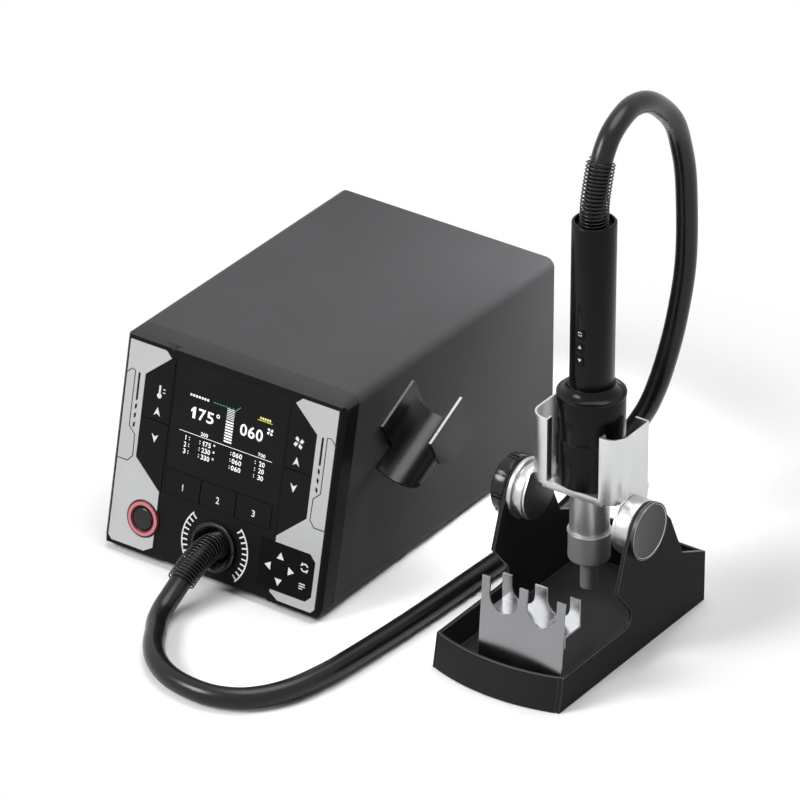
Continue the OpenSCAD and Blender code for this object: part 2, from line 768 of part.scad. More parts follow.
module up_key() { panel_key(up_outline, up_switch, up_side); }
module down_key() { panel_key(down_outline, down_switch, down_side); }
module temp_up_key() { color("#333335") face() up_key(); }
module temp_down_key() { color("#333335") face() down_key(); }
module air_up_key() { color("#333335") face() right_half() up_key(); }
module air_down_key() { color("#333335") face() right_half() down_key(); }
module channel_key(i) {
    color("#333335") face() panel_key(channel_cell(i), channel_centre(i), channel_side(i));
}
module channel_key_1() { channel_key(0); }
module channel_key_2() { channel_key(1); }
module channel_key_3() { channel_key(2); }

barrel_l = 13;
module power_switch_body() {
    color("#303033") face() translate([power_x, power_s, 0]) rotate_extrude($fn = 64) polygon([
        [0, -face_wall - barrel_l], [power_r + 3, -face_wall - barrel_l], [power_r + 3, -face_wall - 1.5],
        [ring_r + 2, -face_wall - 1.5], [ring_r + 2, -face_wall], [power_r + key_gap, -face_wall],
        [power_r + key_gap, 2.5 - face_wall - barrel_l], [0, 2.5 - face_wall - barrel_l]
    ]);
}

module power_light_ring() {
    color("#e58a90") face() translate([power_x, power_s, 0]) rotate_extrude($fn = 64) polygon([
        [power_r + key_gap, -face_wall], [ring_r, -face_wall], [ring_r, 0.9], [ring_r - 1, 1.7],
        [power_r + key_gap + 1, 1.7], [power_r + key_gap, 0.9]
    ]);
}

module power_button() {
    low = 2.5 - face_wall - barrel_l + power_travel + run_gap;
    color("#2b2b2d") face() translate([power_x, power_s, 0]) rotate_extrude($fn = 64) polygon([
        [0, low], [power_r - 2.5, low], [power_r - 2.5, -4], [power_r, -4], [power_r, 1], [power_r - 1, 1.8],
        [0, 1.4]
    ]);
}

collar_bore = spring_r + 0.6;
collar_lip = 3;
barrel_w = -14;
barrel_r = collar_bore + 1.6;
// Bore under the hose's end, smaller than the hose by its wall
hose_bore = hose_d / 2 - 1.4;
module outlet_collar() {
    neck_r = collar_r - collar_lip - fit;
    color("#232325") face() translate([outlet_x, outlet_s, 0]) rotate_extrude($fn = 72) polygon([
        [hose_bore, barrel_w], [barrel_r, barrel_w], [barrel_r, -face_wall - 2], [neck_r, -face_wall],
        [neck_r, 0], [collar_r, 0], [collar_r, collar_h - 1.4], [collar_r - 1.2, collar_h],
        [collar_r - 2.8, collar_h - 0.4], [collar_bore, -2], [collar_bore, seat_w], [hose_bore, seat_w]
    ]);
}

blower_x = outlet_x - impeller_r + 6;
blower_lift = 5;
blower_foot = impeller_r + 6;
blower_z = sheet + base_t + blower_lift;
volute_r = impeller_r + 5;
housing_h = impeller_h + 2 * blower_wall + 2;
duct_r = 9;
duct_wall = 2;
duct_y = blower_y - volute_r - 24;
coupler_z = outlet_s * cos(lean_a) + barrel_w * sin(lean_a);

module hose_coupler() {
    front = outlet_s * sin(lean_a);
    color("#3a3d40") unit() difference() {
        translate([outlet_x, duct_y, coupler_z]) rotate([90, 0, 0]) difference() {
            cylinder(r = duct_r, h = duct_y - front, $fn = 48);
            translate([0, 0, -eps]) cylinder(r = duct_r - duct_wall, h = duct_y + 2 * eps, $fn = 48);
        }
        rotate([90 - lean_a, 0, 0]) translate([outlet_x - 30, -10, barrel_w]) cube([60, 80, 60]);
    }
}

module blower_at(z) { translate([blower_x, blower_y, z]) children(); }

module blower_housing() {
    duct_w = 2 * duct_r + 2 * blower_wall;
    room_h = housing_h - 2 * blower_wall;
    eye_r = impeller_r - 8;
    shaft_hole_r = 5;
    color("#33363a") unit() difference() {
        union() {
            blower_at(blower_z) cylinder(r = volute_r + blower_wall, h = housing_h, $fn = 72);
            translate([outlet_x - duct_w / 2, duct_y, blower_z]) cube([duct_w, blower_y - duct_y, housing_h]);
            blower_at(blower_z) for (a = [45 : 90 : 315])
                rotate(a) translate([blower_foot, 0, 0]) cylinder(r = 5, h = blower_wall, $fn = 32);
        }
        blower_at(blower_z + blower_wall) cylinder(r = volute_r, h = room_h, $fn = 72);
        translate([outlet_x - duct_r, duct_y + blower_wall, blower_z + blower_wall])
            cube([2 * duct_r - 1, blower_y - duct_y - blower_wall, room_h]);
        translate([outlet_x, duct_y + blower_wall + eps, coupler_z]) rotate([90, 0, 0])
            cylinder(r = duct_r - duct_wall, h = blower_wall + 2 * eps, $fn = 48);
        blower_at(blower_z - eps) cylinder(r = eye_r, h = blower_wall + 2 * eps, $fn = 64);
        blower_at(blower_z + housing_h - blower_wall - eps)
            cylinder(r = shaft_hole_r, h = blower_wall + 2 * eps, $fn = 32);
    }
}

shaft_r = 2.5;
module blower_impeller() {
    z0 = blower_z + blower_wall + 1;
    rim_t = 1.6;
    hub_low = 6;
    color("#b9bcc0") unit() blower_at(z0) difference() {
        union() {
            translate([0, 0, impeller_h - rim_t]) cylinder(r = impeller_r, h = rim_t, $fn = 64);
            translate([0, 0, hub_low]) cylinder(r = 6, h = impeller_h - hub_low, $fn = 32);
            difference() {
                cylinder(r = impeller_r, h = rim_t, $fn = 64);
                translate([0, 0, -eps]) cylinder(r = impeller_r - 7, h = rim_t + 2 * eps, $fn = 64);
            }
            for (i = [0 : blades - 1])
                rotate(360 * i / blades) translate([impeller_r - 9, 0, 0]) rotate(24)
                    cube([8.4, 1, impeller_h]);
        }
        translate([0, 0, -eps]) cylinder(r = shaft_r + shaft_gap, h = impeller_h + 2 * eps, $fn = 32);
    }
}

module blower_motor() {
    shaft_low = 8;
    color("#8f9296") unit() blower_at(blower_z + housing_h) {
        cylinder(r = motor_r, h = motor_h, $fn = 64);
        translate([0, 0, motor_h - bite]) cylinder(r = 6, h = 3 + bite, $fn = 32);
        translate([0, 0, shaft_low - housing_h])
            cylinder(r = shaft_r, h = housing_h - shaft_low + bite, $fn = 32);
    }
}

transformer_x = body_w - 16 - core_w;
transformer_y = blower_y + 8;
core_d = 30;
foot_t = 1.6;
// Windows of the core for the winding, either side of its middle limb
window_l = core_w / 4;
limb_l = core_w / 6;
module transformer() {
    lap = 8;
    play = 0.2;
    color("#70747a") unit() translate([transformer_x, transformer_y, sheet + base_t]) {
        translate([0, -lap, 0]) cube([core_w, core_d + 2 * lap, foot_t]);
        translate([0, 0, foot_t - bite]) difference() {
            cube([core_w, core_d, core_h + bite]);
            for (x = [limb_l, core_w - limb_l - window_l])
                translate([x, -eps, core_h / 6 + bite]) cube([window_l, core_d + 2 * eps, core_h * 2 / 3]);
        }
    }
    color("#a8662f") unit() translate([transformer_x, transformer_y, sheet + base_t + foot_t]) difference() {
        translate([limb_l + play, -lap - 1, core_h / 6 + play])
            cube([core_w - 2 * (limb_l + play), core_d + 2 * lap + 2, core_h * 2 / 3 - 2 * play]);
        translate([(core_w - limb_l) / 2 + bite, -eps, 0])
            cube([limb_l - 2 * bite, core_d + 2 * eps, core_h]);
    }
}

board_x = outlet_x + duct_r + blower_wall + board_gap;
board_y = 62;
board_w_x = body_w - 14 - board_x;
board_post_x = [board_x + 5, board_x + board_w_x - 5];
board_post_y = [board_y + 5, board_y + power_board_l - 5];
board_z = sheet + base_t + standoff_h;
sink_x = board_x + 8;
module power_board() {
    color("#2f6b46") unit() translate([board_x, board_y, board_z]) cube([board_w_x, power_board_l, board_t]);
    // Capacitors: place on the board, radius and height
    color("#2b2e33") unit() for (p = [[46, 16, 6, 22], [46, 34, 6, 22], [46, 52, 5, 16], [30, 74, 5, 14]])
        translate([board_x + p[0], board_y + p[1], board_z + bite])
            cylinder(r = p[2], h = p[3] + board_t - bite, $fn = 32);
    // Terminal block at the rear edge
    block_d = 9;
    color("#3c7d4e") unit() translate([sink_x, board_y + power_board_l - block_d - 5, board_z + bite])
        cube([board_w_x - 22, block_d, block_d + board_t]);
}

module heat_sink() {
    gap = sink_w / fins;
    sink_t = 4;
    color("#a9abae") unit() translate([sink_x, board_y + 10, board_z + board_t]) {
        cube([sink_w, sink_l, sink_t]);
        for (i = [0 : fins - 1])
            translate([i * gap, 0, sink_t - bite]) cube([gap * 0.45, sink_l, fin_h + bite]);
    }
}

// Rubber feet under the base plate, standing in the gap between the cover's flanges
module unit_feet() {
    foot_x = flange_w + foot_r + 3;
    color("#222223") unit() for (x = [foot_x, body_w - foot_x]) for (y = [40, body_d - 30])
        translate([x, y, -foot_h]) {
            cylinder(r1 = foot_r - 1, r2 = foot_r, h = foot_h - bite, $fn = 48);
            translate([0, 0, foot_h - bite]) cylinder(r = foot_r, h = sheet + bite, $fn = 48);
        }
}

// Pan-head screws that hold the mains inlet
module unit_screws() {
    head_t = 1.4;
    color("#b0b2b4") unit() for (x = [-screw_half, screw_half])
        translate([inlet_x + x, body_d + inlet_flange_t, inlet_z]) rotate([90, 0, 0]) {
            translate([0, 0, -head_t]) cylinder(r = screw_r + 1.2, h = head_t, $fn = 32);
            translate([0, 0, -bite]) cylinder(r = screw_r, h = inlet_flange_t + bite, $fn = 24);
        }
}

// The hook: a trough between two side plates, sloping down to the front and open at its top.
// Its lower half runs on past the rims as a tongue.
hook_y = 114;
hook_z = 142;
hook_side = 12;
hook_back = 3.5;
hook_reach = 64;
hook_end = hook_l + 4;
hook_step = 21;
hook_plate = [[0, 0], [-hook_l, 0], [-hook_end, -4], [-hook_end, -24], [-30, -38], [0, -38]];
module side_hook() {
    r = hook_w / 2;
    color("#3f4042") unit() translate([body_w, hook_y, hook_z]) rotate([hook_a, 0, 0]) {
        difference() {
            translate([0, -hook_back, -hook_side]) rotate([90, 0, 0]) linear_extrude(hook_reach - hook_back)
                difference() {
                    union() {
                        intersection() {
                            translate([r, 0]) circle(r, $fn = 96);
                            translate([0, -r]) square([hook_w, r]);
                        }
                        square([hook_w, hook_side]);
                    }
                    translate([r, 0]) circle(r - hook_t, $fn = 96);
                    translate([hook_t, 0]) square([hook_w - 2 * hook_t, hook_side + eps]);
                }
            translate([-eps, -hook_reach - eps, -hook_step])
                cube([hook_w + 2 * eps, hook_reach - hook_end + eps, hook_step + eps]);
        }
        for (x = [0, hook_w - hook_t])
            translate([x, 0, 0]) rotate([90, 0, 90]) linear_extrude(hook_t) polygon(hook_plate);
    }
}

// Side view of the stand's plates: depth and height, with the top rounded about the pivot
// and a round throat where the plate drops to the tray's side
throat_r = 8.5;
module plate_profile() {
    c = [pivot_y, pivot_z];
    rear = [tray_y + tray_d, tray_rear_h];
    apex = [pivot_y + 30.9, pivot_z - 6];
    brow = [pivot_y - 26, pivot_z - 5.7];
    throat = [pivot_y - 25.5, tray_front_h + throat_r];
    difference() {
        union() {
            translate(c) circle(plate_r, $fn = 72);
            polygon([
                [tray_y, 0], [tray_y + tray_d, 0], rear, [rear[0] - 30, tray_rear_h + 13.7], apex,
                touch(c, plate_r, apex, 1), touch(c, plate_r, brow, -1), brow,
                [pivot_y - 35.6, 59.9], touch(throat, throat_r, [pivot_y - 35.6, 59.9], -1), throat,
                [throat[0], tray_front_h], [tray_y + tray_front_h * tan(front_lean), tray_front_h]
            ]);
        }
        translate(throat) circle(throat_r, $fn = 48);
    }
}

module stand_frame() {
    back = tray_y + tray_d;
    inner_l = inner_right - inner_left;
    front_low = 0.5;
    color("#2e2f31") bench() {
        difference() {
            for (x = [tray_x, inner_right])
                translate([x, 0, 0]) rotate([90, 0, 90]) linear_extrude(plate_t) plate_profile();
            translate([tray_x - eps, 0, 0]) mirror([0, 0, 1]) cube([tray_w + 2 * eps, tray_d + 20, 10]);
            translate([tray_x - eps, pivot_y, pivot_z]) rotate([0, 90, 0])
                cylinder(r = bolt_r + shaft_gap, h = tray_w + 2 * eps, $fn = 48);
        }
        translate([inner_left, tray_y + 4, pad_h]) cube([inner_l, tray_d - 4, tray_t]);
        translate([inner_left, back - tray_t, pad_h - 1]) cube([inner_l, tray_t, tray_rear_h - pad_h + 1]);
        // The front wall: a leaning arc between the side plates
        intersection() {
            translate([tray_cx, tray_y, 0]) rotate([-front_lean, 0, 0]) translate([0, bow_r - front_bow, -10])
                difference() {
                    cylinder(r = bow_r, h = 60, $fn = 180);
                    translate([0, 0, -eps]) cylinder(r = bow_r - tray_t, h = 60 + 2 * eps, $fn = 180);
                }
            translate([inner_left, tray_y - front_bow - 10, front_low])
                cube([inner_l, front_bow + 20, tray_front_h - front_low]);
        }
        intersection() {
            translate([tray_cx, tray_y + bow_r - front_bow, pad_h])
                cylinder(r = bow_r - 1, h = tray_t, $fn = 180);
            translate([inner_left, tray_y - front_bow, 0]) cube([inner_l, front_bow + 5, 20]);
        }
    }
}

module stand_pads() {
    color("#222223") bench() for (x = [tray_x + 14, tray_x + tray_w - 14])
        for (y = [tray_y + 20, tray_y + tray_d - 16])
            translate([x, y, 0]) cylinder(r = 6, h = pad_h, $fn = 32);
}

// The rack: front plate with U notches, base flange, and a shelf that carries the prongs behind
rack_x = tray_cx + 15;
rack_y = 7.4;
rack_lean = 4.5;
shelf_z = 54;
rack_w = 2 * rack_pitch + 6.5;
// A notch with a round bottom, open at the top, around the origin
module notch(r) {
    circle(r, $fn = 64);
    translate([-r, 0]) square([2 * r, r + 10]);
}

module rack_front() {
    difference() {
        translate([-rack_w / 2, 0]) square([rack_w, rack_h]);
        for (x = [-rack_pitch / 2, rack_pitch / 2]) translate([x, rack_h - 12.25]) notch(notch_r);
    }
}

module nozzle_rack() {
    shelf_d = 20;
    shelf_x = 2.6;
    flange_h = 8;
    prong_h = 22;
    top_y = rack_y + (shelf_z - floor_top) * tan(rack_lean) + rack_t - 0.2;
    w = rack_w - 4.5;
    color("#d2d3d4") bench() translate([rack_x, 0, 0]) {
        translate([0, rack_y + rack_t, floor_top]) rotate([90 - rack_lean, 0, 0])
            linear_extrude(rack_t) rack_front();
        translate([-rack_w / 2, rack_y + 0.3, floor_top]) cube([rack_w, 26, rack_t]);
        translate([shelf_x - w / 2, top_y, shelf_z]) cube([w, shelf_d, rack_t]);
        translate([shelf_x - w / 2, top_y, shelf_z - flange_h]) cube([w, rack_t, flange_h]);
        translate([shelf_x, top_y + shelf_d - 0.1, shelf_z]) rotate([90, 0, 0])
            linear_extrude(rack_t) difference() {
                translate([-w / 2, 0]) square([w, prong_h]);
                for (x = [-14.5, 14.5]) translate([x, prong_h - 9]) notch(9.6);
            }
    }
}

nut_r = bolt_r + 3.5;
disc_skin = 1;
drum_in_left = hand_x - cradle_half - run_gap;
drum_in_right = hand_x + cradle_half + run_gap;
module pivot_at(x) { bench() translate([x, pivot_y, pivot_z]) rotate([0, 90, 0]) children(); }

module drum(x0, x1) {
    pivot_at(x0) difference() {
        cylinder(r = drum_r, h = x1 - x0, $fn = 96);
        translate([0, 0, -eps]) cylinder(r = bolt_r + shaft_gap, h = x1 - x0 + 2 * eps, $fn = 48);
    }
}

// The left drum has a flange and a groove, and a pocket at its inner end for the nut on the lug
module left_drum() {
    rim_t = 3.5;
    groove_t = 1.5;
    drum_l = drum_in_left - inner_left;
    color("#c4c5c6") pivot_at(inner_left) rotate_extrude($fn = 96) polygon([
        [bolt_r + shaft_gap, 0], [drum_r + 1.5, 0], [drum_r + 1.5, rim_t], [drum_r - 2, rim_t],
        [drum_r - 2, rim_t + groove_t], [drum_r, rim_t + groove_t], [drum_r, drum_l],
        [nut_r + end_gap, drum_l], [nut_r + end_gap, drum_l - nut_t - end_gap],
        [bolt_r + shaft_gap, drum_l - nut_t - end_gap]
    ]);
}

module right_drum() { color("#c4c5c6") drum(drum_in_right, inner_right); }

// The disc hides the bolt's end: its bore is blind, and its outer face has a shallow turned step
module end_disc() {
    rim_r = drum_r + 0.25;
    step_t = 0.4;
    color("#8b8d90") pivot_at(tray_x + tray_w) rotate_extrude($fn = 96) polygon([
        [bolt_r + shaft_gap, 0], [rim_r, 0], [rim_r, disc_t], [rim_r - 1.45, disc_t],
        [rim_r - 1.45, disc_t - step_t], [0, disc_t - step_t], [0, disc_t - disc_skin],
        [bolt_r + shaft_gap, disc_t - disc_skin]
    ]);
}

module pivot_bolt() {
    nut_x = hand_x + cradle_half - cradle_t - run_gap;
    color("#b5b7b9") {
        pivot_at(nut_x - bite)
            cylinder(r = bolt_r, h = tray_x + tray_w + disc_t - disc_skin - nut_x + bite, $fn = 48);
        pivot_at(nut_x - nut_t) cylinder(r = nut_r, h = nut_t, $fn = 6);
    }
}

// The knob: a disc with pairs of fine ribs, on a stud that ends in the nut on the left lug
module star_knob() {
    x0 = tray_x - run_gap - knob_t;
    disc_r = knob_r - 0.9;
    rib_w = 1.1;
    rib_half = 1.5;
    color("#1f1f20") pivot_at(x0) {
        rotate_extrude($fn = 96) polygon([
            [0, 0], [disc_r - 3, 0], [disc_r, 2.4], [disc_r, knob_t - 1], [disc_r - 1, knob_t], [0, knob_t]
        ]);
        for (i = [0 : knob_ribs - 1]) for (side = [-1, 1])
            rotate(360 * i / knob_ribs) translate([disc_r - 2, side * rib_half - rib_w / 2, 3])
                cube([knob_r - disc_r + 2, rib_w, knob_t - 4.6]);
    }
    color("#b5b7b9") pivot_at(x0 + knob_t - bite)
        cylinder(r = bolt_r, h = drum_in_left - x0 - knob_t + bite, $fn = 48);
}

// Plan view of one upright, drawn for the right side: web, rolled front corner, front lip and rear flange
cradle_inner = 21.5;
module upright_plan() {
    front = -cradle_fore;
    rear = cradle_aft;
    t = cradle_t;
    turn = 3;
    translate([cradle_half - t, front + cradle_bend]) square([t, rear - front - cradle_bend - turn]);
    translate([cradle_half - cradle_bend, front + cradle_bend]) intersection() {
        difference() {
            circle(cradle_bend, $fn = 72);
            circle(cradle_bend - t, $fn = 72);
        }
        translate([0, -cradle_bend]) square(cradle_bend);
    }
    translate([cradle_inner, front]) square([cradle_half - cradle_bend - cradle_inner, t]);
    translate([cradle_inner, front]) square([t, 6]);
    translate([cradle_half - turn, rear - turn]) intersection() {
        difference() {
            circle(turn, $fn = 48);
            circle(turn - t, $fn = 48);
        }
        square(turn);
    }
    translate([cradle_half - 12, rear - t]) square([12 - turn, t]);
}

// Plan view of the seat, with a slot open to the rear through which the nozzle comes out
module seat_plan() {
    half = cradle_half - 0.2;
    slot_r = clamp_r + 1.6;
    difference() {
        union() {
            translate([-half, cradle_bend - cradle_fore])
                square([2 * half, cradle_fore + cradle_aft - cradle_bend]);
            translate([cradle_bend - half, -cradle_fore])
                square([2 * (half - cradle_bend), cradle_bend + 1]);
            for (x = [cradle_bend - half, half - cradle_bend])
                translate([x, cradle_bend - cradle_fore]) circle(cradle_bend, $fn = 72);
        }
        circle(slot_r, $fn = 72);
        translate([-slot_r, 0]) square([2 * slot_r, cradle_aft + eps]);
    }
}

// Side view of the lugs that carry the cradle on its pivot
module lug_profile() {
    c = [pivot_y, pivot_z];
    a = [hand_y - cradle_fore + 2, seat_z - 1];
    b = [hand_y + cradle_aft, seat_z - 1];
    r = drum_r - 1;
    translate(c) circle(r, $fn = 72);
    polygon([a, touch(c, r, a, 1), c, touch(c, r, b, -1), b]);
}

module cradle() {
    seat_t = 2 * cradle_t;
    lip_half = cradle_half - cradle_bend;
    color("#d0d1d2") {
        hand(seat_z - seat_t) {
            linear_extrude(upright_h + seat_t) for (m = [0, 1]) mirror([m, 0]) upright_plan();
            linear_extrude(seat_t) seat_plan();
        }
        hand(seat_z - lip_h) translate([-lip_half, -cradle_fore, 0]) cube([2 * lip_half, cradle_t, lip_h]);
        for (x = [hand_x - cradle_half, hand_x + cradle_half - cradle_t])
            bench() translate([x, 0, 0]) rotate([90, 0, 90]) difference() {
                linear_extrude(cradle_t) lug_profile();
                if (x > hand_x) translate([pivot_y, pivot_z, -eps])
                    cylinder(r = bolt_r + shaft_gap, h = cradle_t + 2 * eps, $fn = 48);
            }
        // Nut welded to the outside of the left lug, for the knob's stud
        pivot_at(hand_x - cradle_half - nut_t) difference() {
            cylinder(r = nut_r, h = nut_t + 0.1, $fn = 6);
            translate([0, 0, -eps]) cylinder(r = bolt_r + shaft_gap, h = nut_t + eps, $fn = 48);
        }
    }
}

// Half size of the handle keys, and the depth of the cup's floor
hand_key = 3.2;
cup_floor = 3;
module handle_shell() {
    key_w = 2 * (hand_key + key_gap);
    color("#2a2a2c") hand(handle_z) difference() {
        rotate_extrude($fn = 96) polygon([
            [handle_r - handle_wall, 0], [handle_r, 0],
            [handle_r, handle_l - 0.8], [handle_r - 0.8, handle_l],
            [handle_r - handle_wall, handle_l], [handle_r - handle_wall, handle_l - cup_depth],
            [hose_bore, handle_l - cup_depth], [hose_bore, handle_l - cup_depth - cup_floor],
            [handle_r - handle_wall, handle_l - cup_depth - cup_floor]
        ]);
        for (i = [0 : 2])
            translate([-key_w / 2, -handle_r - eps, hand_key_z + i * hand_key_pitch - key_w / 2])
                cube([key_w, 8, key_w]);
    }
}

module flared_collar() {
    wide = sleeve_r + 0.4;
    color("#2a2a2c") hand(sleeve_top) difference() {
        union() {
            cylinder(r = handle_r, h = flare_h, $fn = 96);
            rotate_extrude($fn = 96) difference() {
                square([wide, flare_h]);
                translate([wide + 0.4, flare_h + 1.4]) circle(flare_h - 0.2, $fn = 72);
            }
        }
        translate([0, 0, -eps]) cylinder(r = handle_r - handle_wall, h = flare_h + 2 * eps, $fn = 96);
    }
}

module heat_sleeve() {
    grip_r = heater_r + shaft_gap;
    wall = 3;
    ring_z = sleeve_l * 0.53;
    color("#28282a") hand(seat_z) rotate_extrude($fn = 96) polygon([
        [grip_r, 0], [sleeve_r - 0.6, 0], [sleeve_r, 0.6], [sleeve_r, ring_z], [sleeve_r - 0.4, ring_z + 0.2],
        [sleeve_r - 0.4, ring_z + 0.8], [sleeve_r, ring_z + 1], [sleeve_r, sleeve_l], [grip_r, sleeve_l],
        [grip_r, sleeve_l - wall], [sleeve_r - wall, sleeve_l - wall], [sleeve_r - wall, wall], [grip_r, wall]
    ]);
}

module heater_tube() {
    color("#a3a19d") hand(seat_z - heater_l) difference() {
        cylinder(r = heater_r, h = heater_l + sleeve_l, $fn = 96);
        translate([0, 0, -eps])
            cylinder(r = heater_r - tube_wall, h = heater_l + sleeve_l + 2 * eps, $fn = 96);
    }
}

// Ribbed ceramic former with the heating wire, held in the tube by its end discs
module heater_core() {
    core_up = 22;
    disc = 3;
    ribs = 9;
    l = heater_l + sleeve_l - core_up - 4;
    color("#e3ddd0") hand(seat_z - heater_l + core_up) {
        cylinder(r = 6, h = l, $fn = 48);
        for (z = [0, l - disc])
            translate([0, 0, z]) cylinder(r = heater_r - tube_wall - shaft_gap, h = disc, $fn = 96);
        for (i = [0 : ribs - 1])
            translate([0, 0, 8 + i * (l - 16) / ribs]) cylinder(r = 10.5, h = disc, $fn = 48);
    }
}

// The band around the heater tube, with a floor for the tip's flange and a screw lug at the rear
clamp_floor = 1.4;
module nozzle_clamp() {
    lug = [6, 3, 7];
    color("#b7b5b1") hand(clamp_z) {
        rotate_extrude($fn = 96) polygon([
            [tip_r + shaft_gap, 0], [clamp_r - 1.4, 0], [clamp_r - 0.3, 0.7], [clamp_r, 2],
            [clamp_r, clamp_h - 1.4], [clamp_r + 0.7, clamp_h - 1], [clamp_r + 0.7, clamp_h],
            [heater_r + shaft_gap, clamp_h], [heater_r + shaft_gap, clamp_floor],
            [tip_r + shaft_gap, clamp_floor]
        ]);
        translate([-lug[0] / 2, clamp_r - 0.6, clamp_h - 2 - lug[2]]) difference() {
            cube(lug);
            translate([lug[0] / 2, -eps, lug[2] / 2]) rotate([-90, 0, 0])
                cylinder(r = 1.5, h = lug[1] + 2 * eps, $fn = 24);
        }
    }
}

module nozzle_tip() {
    top = tip_l + clamp_floor;
    color("#9b9894") hand(clamp_z - tip_l) rotate_extrude($fn = 72) polygon([
        [tip_r - 1, 0], [tip_r, 0], [tip_r, top], [tip_r + 2, top], [tip_r + 2, top + 1], [tip_r - 1, top + 1]
    ]);
}

board_front = -handle_r + handle_wall + 3.6;
hand_switch = 1;
module handle_board() {
    color("#2f6b46") hand(handle_z) intersection() {
        translate([-handle_r, board_front, 6]) cube([2 * handle_r, board_t, handle_l - cup_depth - 16]);
        cylinder(r = handle_r - handle_wall - 0.1, h = handle_l, $fn = 96);
    }
    color("#c8c8c4") hand(handle_z) for (i = [0 : 2])
        translate([0, board_front + bite, hand_key_z + i * hand_key_pitch]) rotate([90, 0, 0])
            cylinder(r = 2, h = hand_switch + bite, $fn = 24);
}

module handle_key(i) {
    color("#3a3a3d") hand(handle_z + hand_key_z + i * hand_key_pitch) {
        intersection() {
            translate([-hand_key, -handle_r - 1, -hand_key]) cube([2 * hand_key, 5, 2 * hand_key]);
            translate([0, 0, -4]) difference() {
                cylinder(r = handle_r + 0.2, h = 8, $fn = 96);
                translate([0, 0, -eps]) cylinder(r = handle_r - handle_wall - 0.9, h = 8 + 2 * eps, $fn = 96);
            }
        }
        translate([0, board_front - hand_switch - hand_key_travel - run_gap, 0]) rotate([90, 0, 0])
            cylinder(r = 1.2, h = 1.6, $fn = 24);
    }
}
module handle_key_1() { handle_key(0); }
module handle_key_2() { handle_key(1); }
module handle_key_3() { handle_key(2); }

// Path of a spring that follows the hose, from route position u0, over a given length
function spring_path(u0, u1, n) = [for (i = [0 : n]) along(route, u0 + (u1 - u0) * i / n)];
function spring_dirs(u0, u1, n) = [for (i = [0 : n]) heading(route, u0 + (u1 - u0) * i / n)];

module outlet_spring() {
    u0 = 0.07;
    u1 = u0 + outlet_turns * spring_pitch / 14.5;
    t = spring_dirs(u0, u1, 16);
    color("#1d1d1e") coil(spring_path(u0, u1, 16), t, carried(t, [1, 0, 0]), outlet_turns, 12);
}

module handle_spring() {
    last = len(route) - 1;
    u0 = last - 0.06;
    u1 = u0 - handle_turns * spring_pitch / 16.5;
    t = spring_dirs(u0, u1, 16);
    color("#1d1d1e") coil(spring_path(u0, u1, 16), t, carried(t, [1, 0, 0]), handle_turns, 12);
}

module hose_bench() { color("#242425") hose(0, rise_from, 2); }
module hose_rise() { color("#242425") hose(rise_from, top_from, 2); }
module hose_top() { color("#242425") hose(top_from, len(route) - 1, 2); }

housing_cover();
base_chassis();
rear_panel();
front_fascia();
left_trim_plate();
right_trim_plate();
display_window();
display_module();
control_board();
temp_up_key();
temp_down_key();
air_up_key();
air_down_key();
channel_key_1();
channel_key_2();
channel_key_3();
keypad_overlay();
keypad_board();
power_switch_body();
power_light_ring();
power_button();
outlet_collar();
outlet_spring();
hose_coupler();
blower_housing();
blower_impeller();
blower_motor();
transformer();
power_board();
heat_sink();
mains_inlet();
fuse_holder();
unit_feet();
unit_screws();
side_hook();
stand_frame();
stand_pads();
nozzle_rack();
left_drum();
right_drum();
end_disc();
star_knob();
pivot_bolt();
cradle();
handle_shell();
flared_collar();
heat_sleeve();
heater_tube();
heater_core();
nozzle_clamp();
nozzle_tip();
handle_board();
handle_key_1();
handle_key_2();
handle_key_3();
handle_spring();
hose_bench();
hose_rise();
hose_top();
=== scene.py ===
# %% [markdown]
# A hot air rework station has a blower in a box, a hose, and a hand-held heater that
# rests in a stand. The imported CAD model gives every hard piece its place. This script
# dresses it: it softens the edges, coils the springs, prints the panel and gives each
# piece its finish. Everything is in metres, in the frame of the CAD model.

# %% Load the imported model
import bpy, bmesh, math, json
from mathutils import Vector, Matrix

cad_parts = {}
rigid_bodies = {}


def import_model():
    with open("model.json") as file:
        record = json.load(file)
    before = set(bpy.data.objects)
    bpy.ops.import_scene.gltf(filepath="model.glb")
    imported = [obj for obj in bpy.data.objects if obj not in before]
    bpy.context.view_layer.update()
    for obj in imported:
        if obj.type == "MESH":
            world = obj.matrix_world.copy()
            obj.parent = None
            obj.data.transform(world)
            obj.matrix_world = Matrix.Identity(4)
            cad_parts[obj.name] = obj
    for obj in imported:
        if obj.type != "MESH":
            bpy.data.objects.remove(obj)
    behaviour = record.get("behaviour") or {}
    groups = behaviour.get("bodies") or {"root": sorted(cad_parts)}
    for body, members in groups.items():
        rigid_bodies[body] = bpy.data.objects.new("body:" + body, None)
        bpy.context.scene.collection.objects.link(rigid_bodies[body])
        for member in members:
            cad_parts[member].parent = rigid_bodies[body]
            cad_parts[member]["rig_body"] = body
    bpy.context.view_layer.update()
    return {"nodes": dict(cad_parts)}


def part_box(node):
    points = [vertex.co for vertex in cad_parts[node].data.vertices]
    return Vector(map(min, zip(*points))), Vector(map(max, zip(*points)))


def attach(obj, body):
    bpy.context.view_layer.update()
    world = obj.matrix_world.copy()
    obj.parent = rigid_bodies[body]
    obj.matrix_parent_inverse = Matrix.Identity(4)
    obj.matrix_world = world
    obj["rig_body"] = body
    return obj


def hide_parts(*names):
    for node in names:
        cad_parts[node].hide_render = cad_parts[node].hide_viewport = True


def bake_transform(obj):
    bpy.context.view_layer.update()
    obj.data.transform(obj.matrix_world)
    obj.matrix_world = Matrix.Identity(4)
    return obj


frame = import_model()
scene = bpy.context.scene

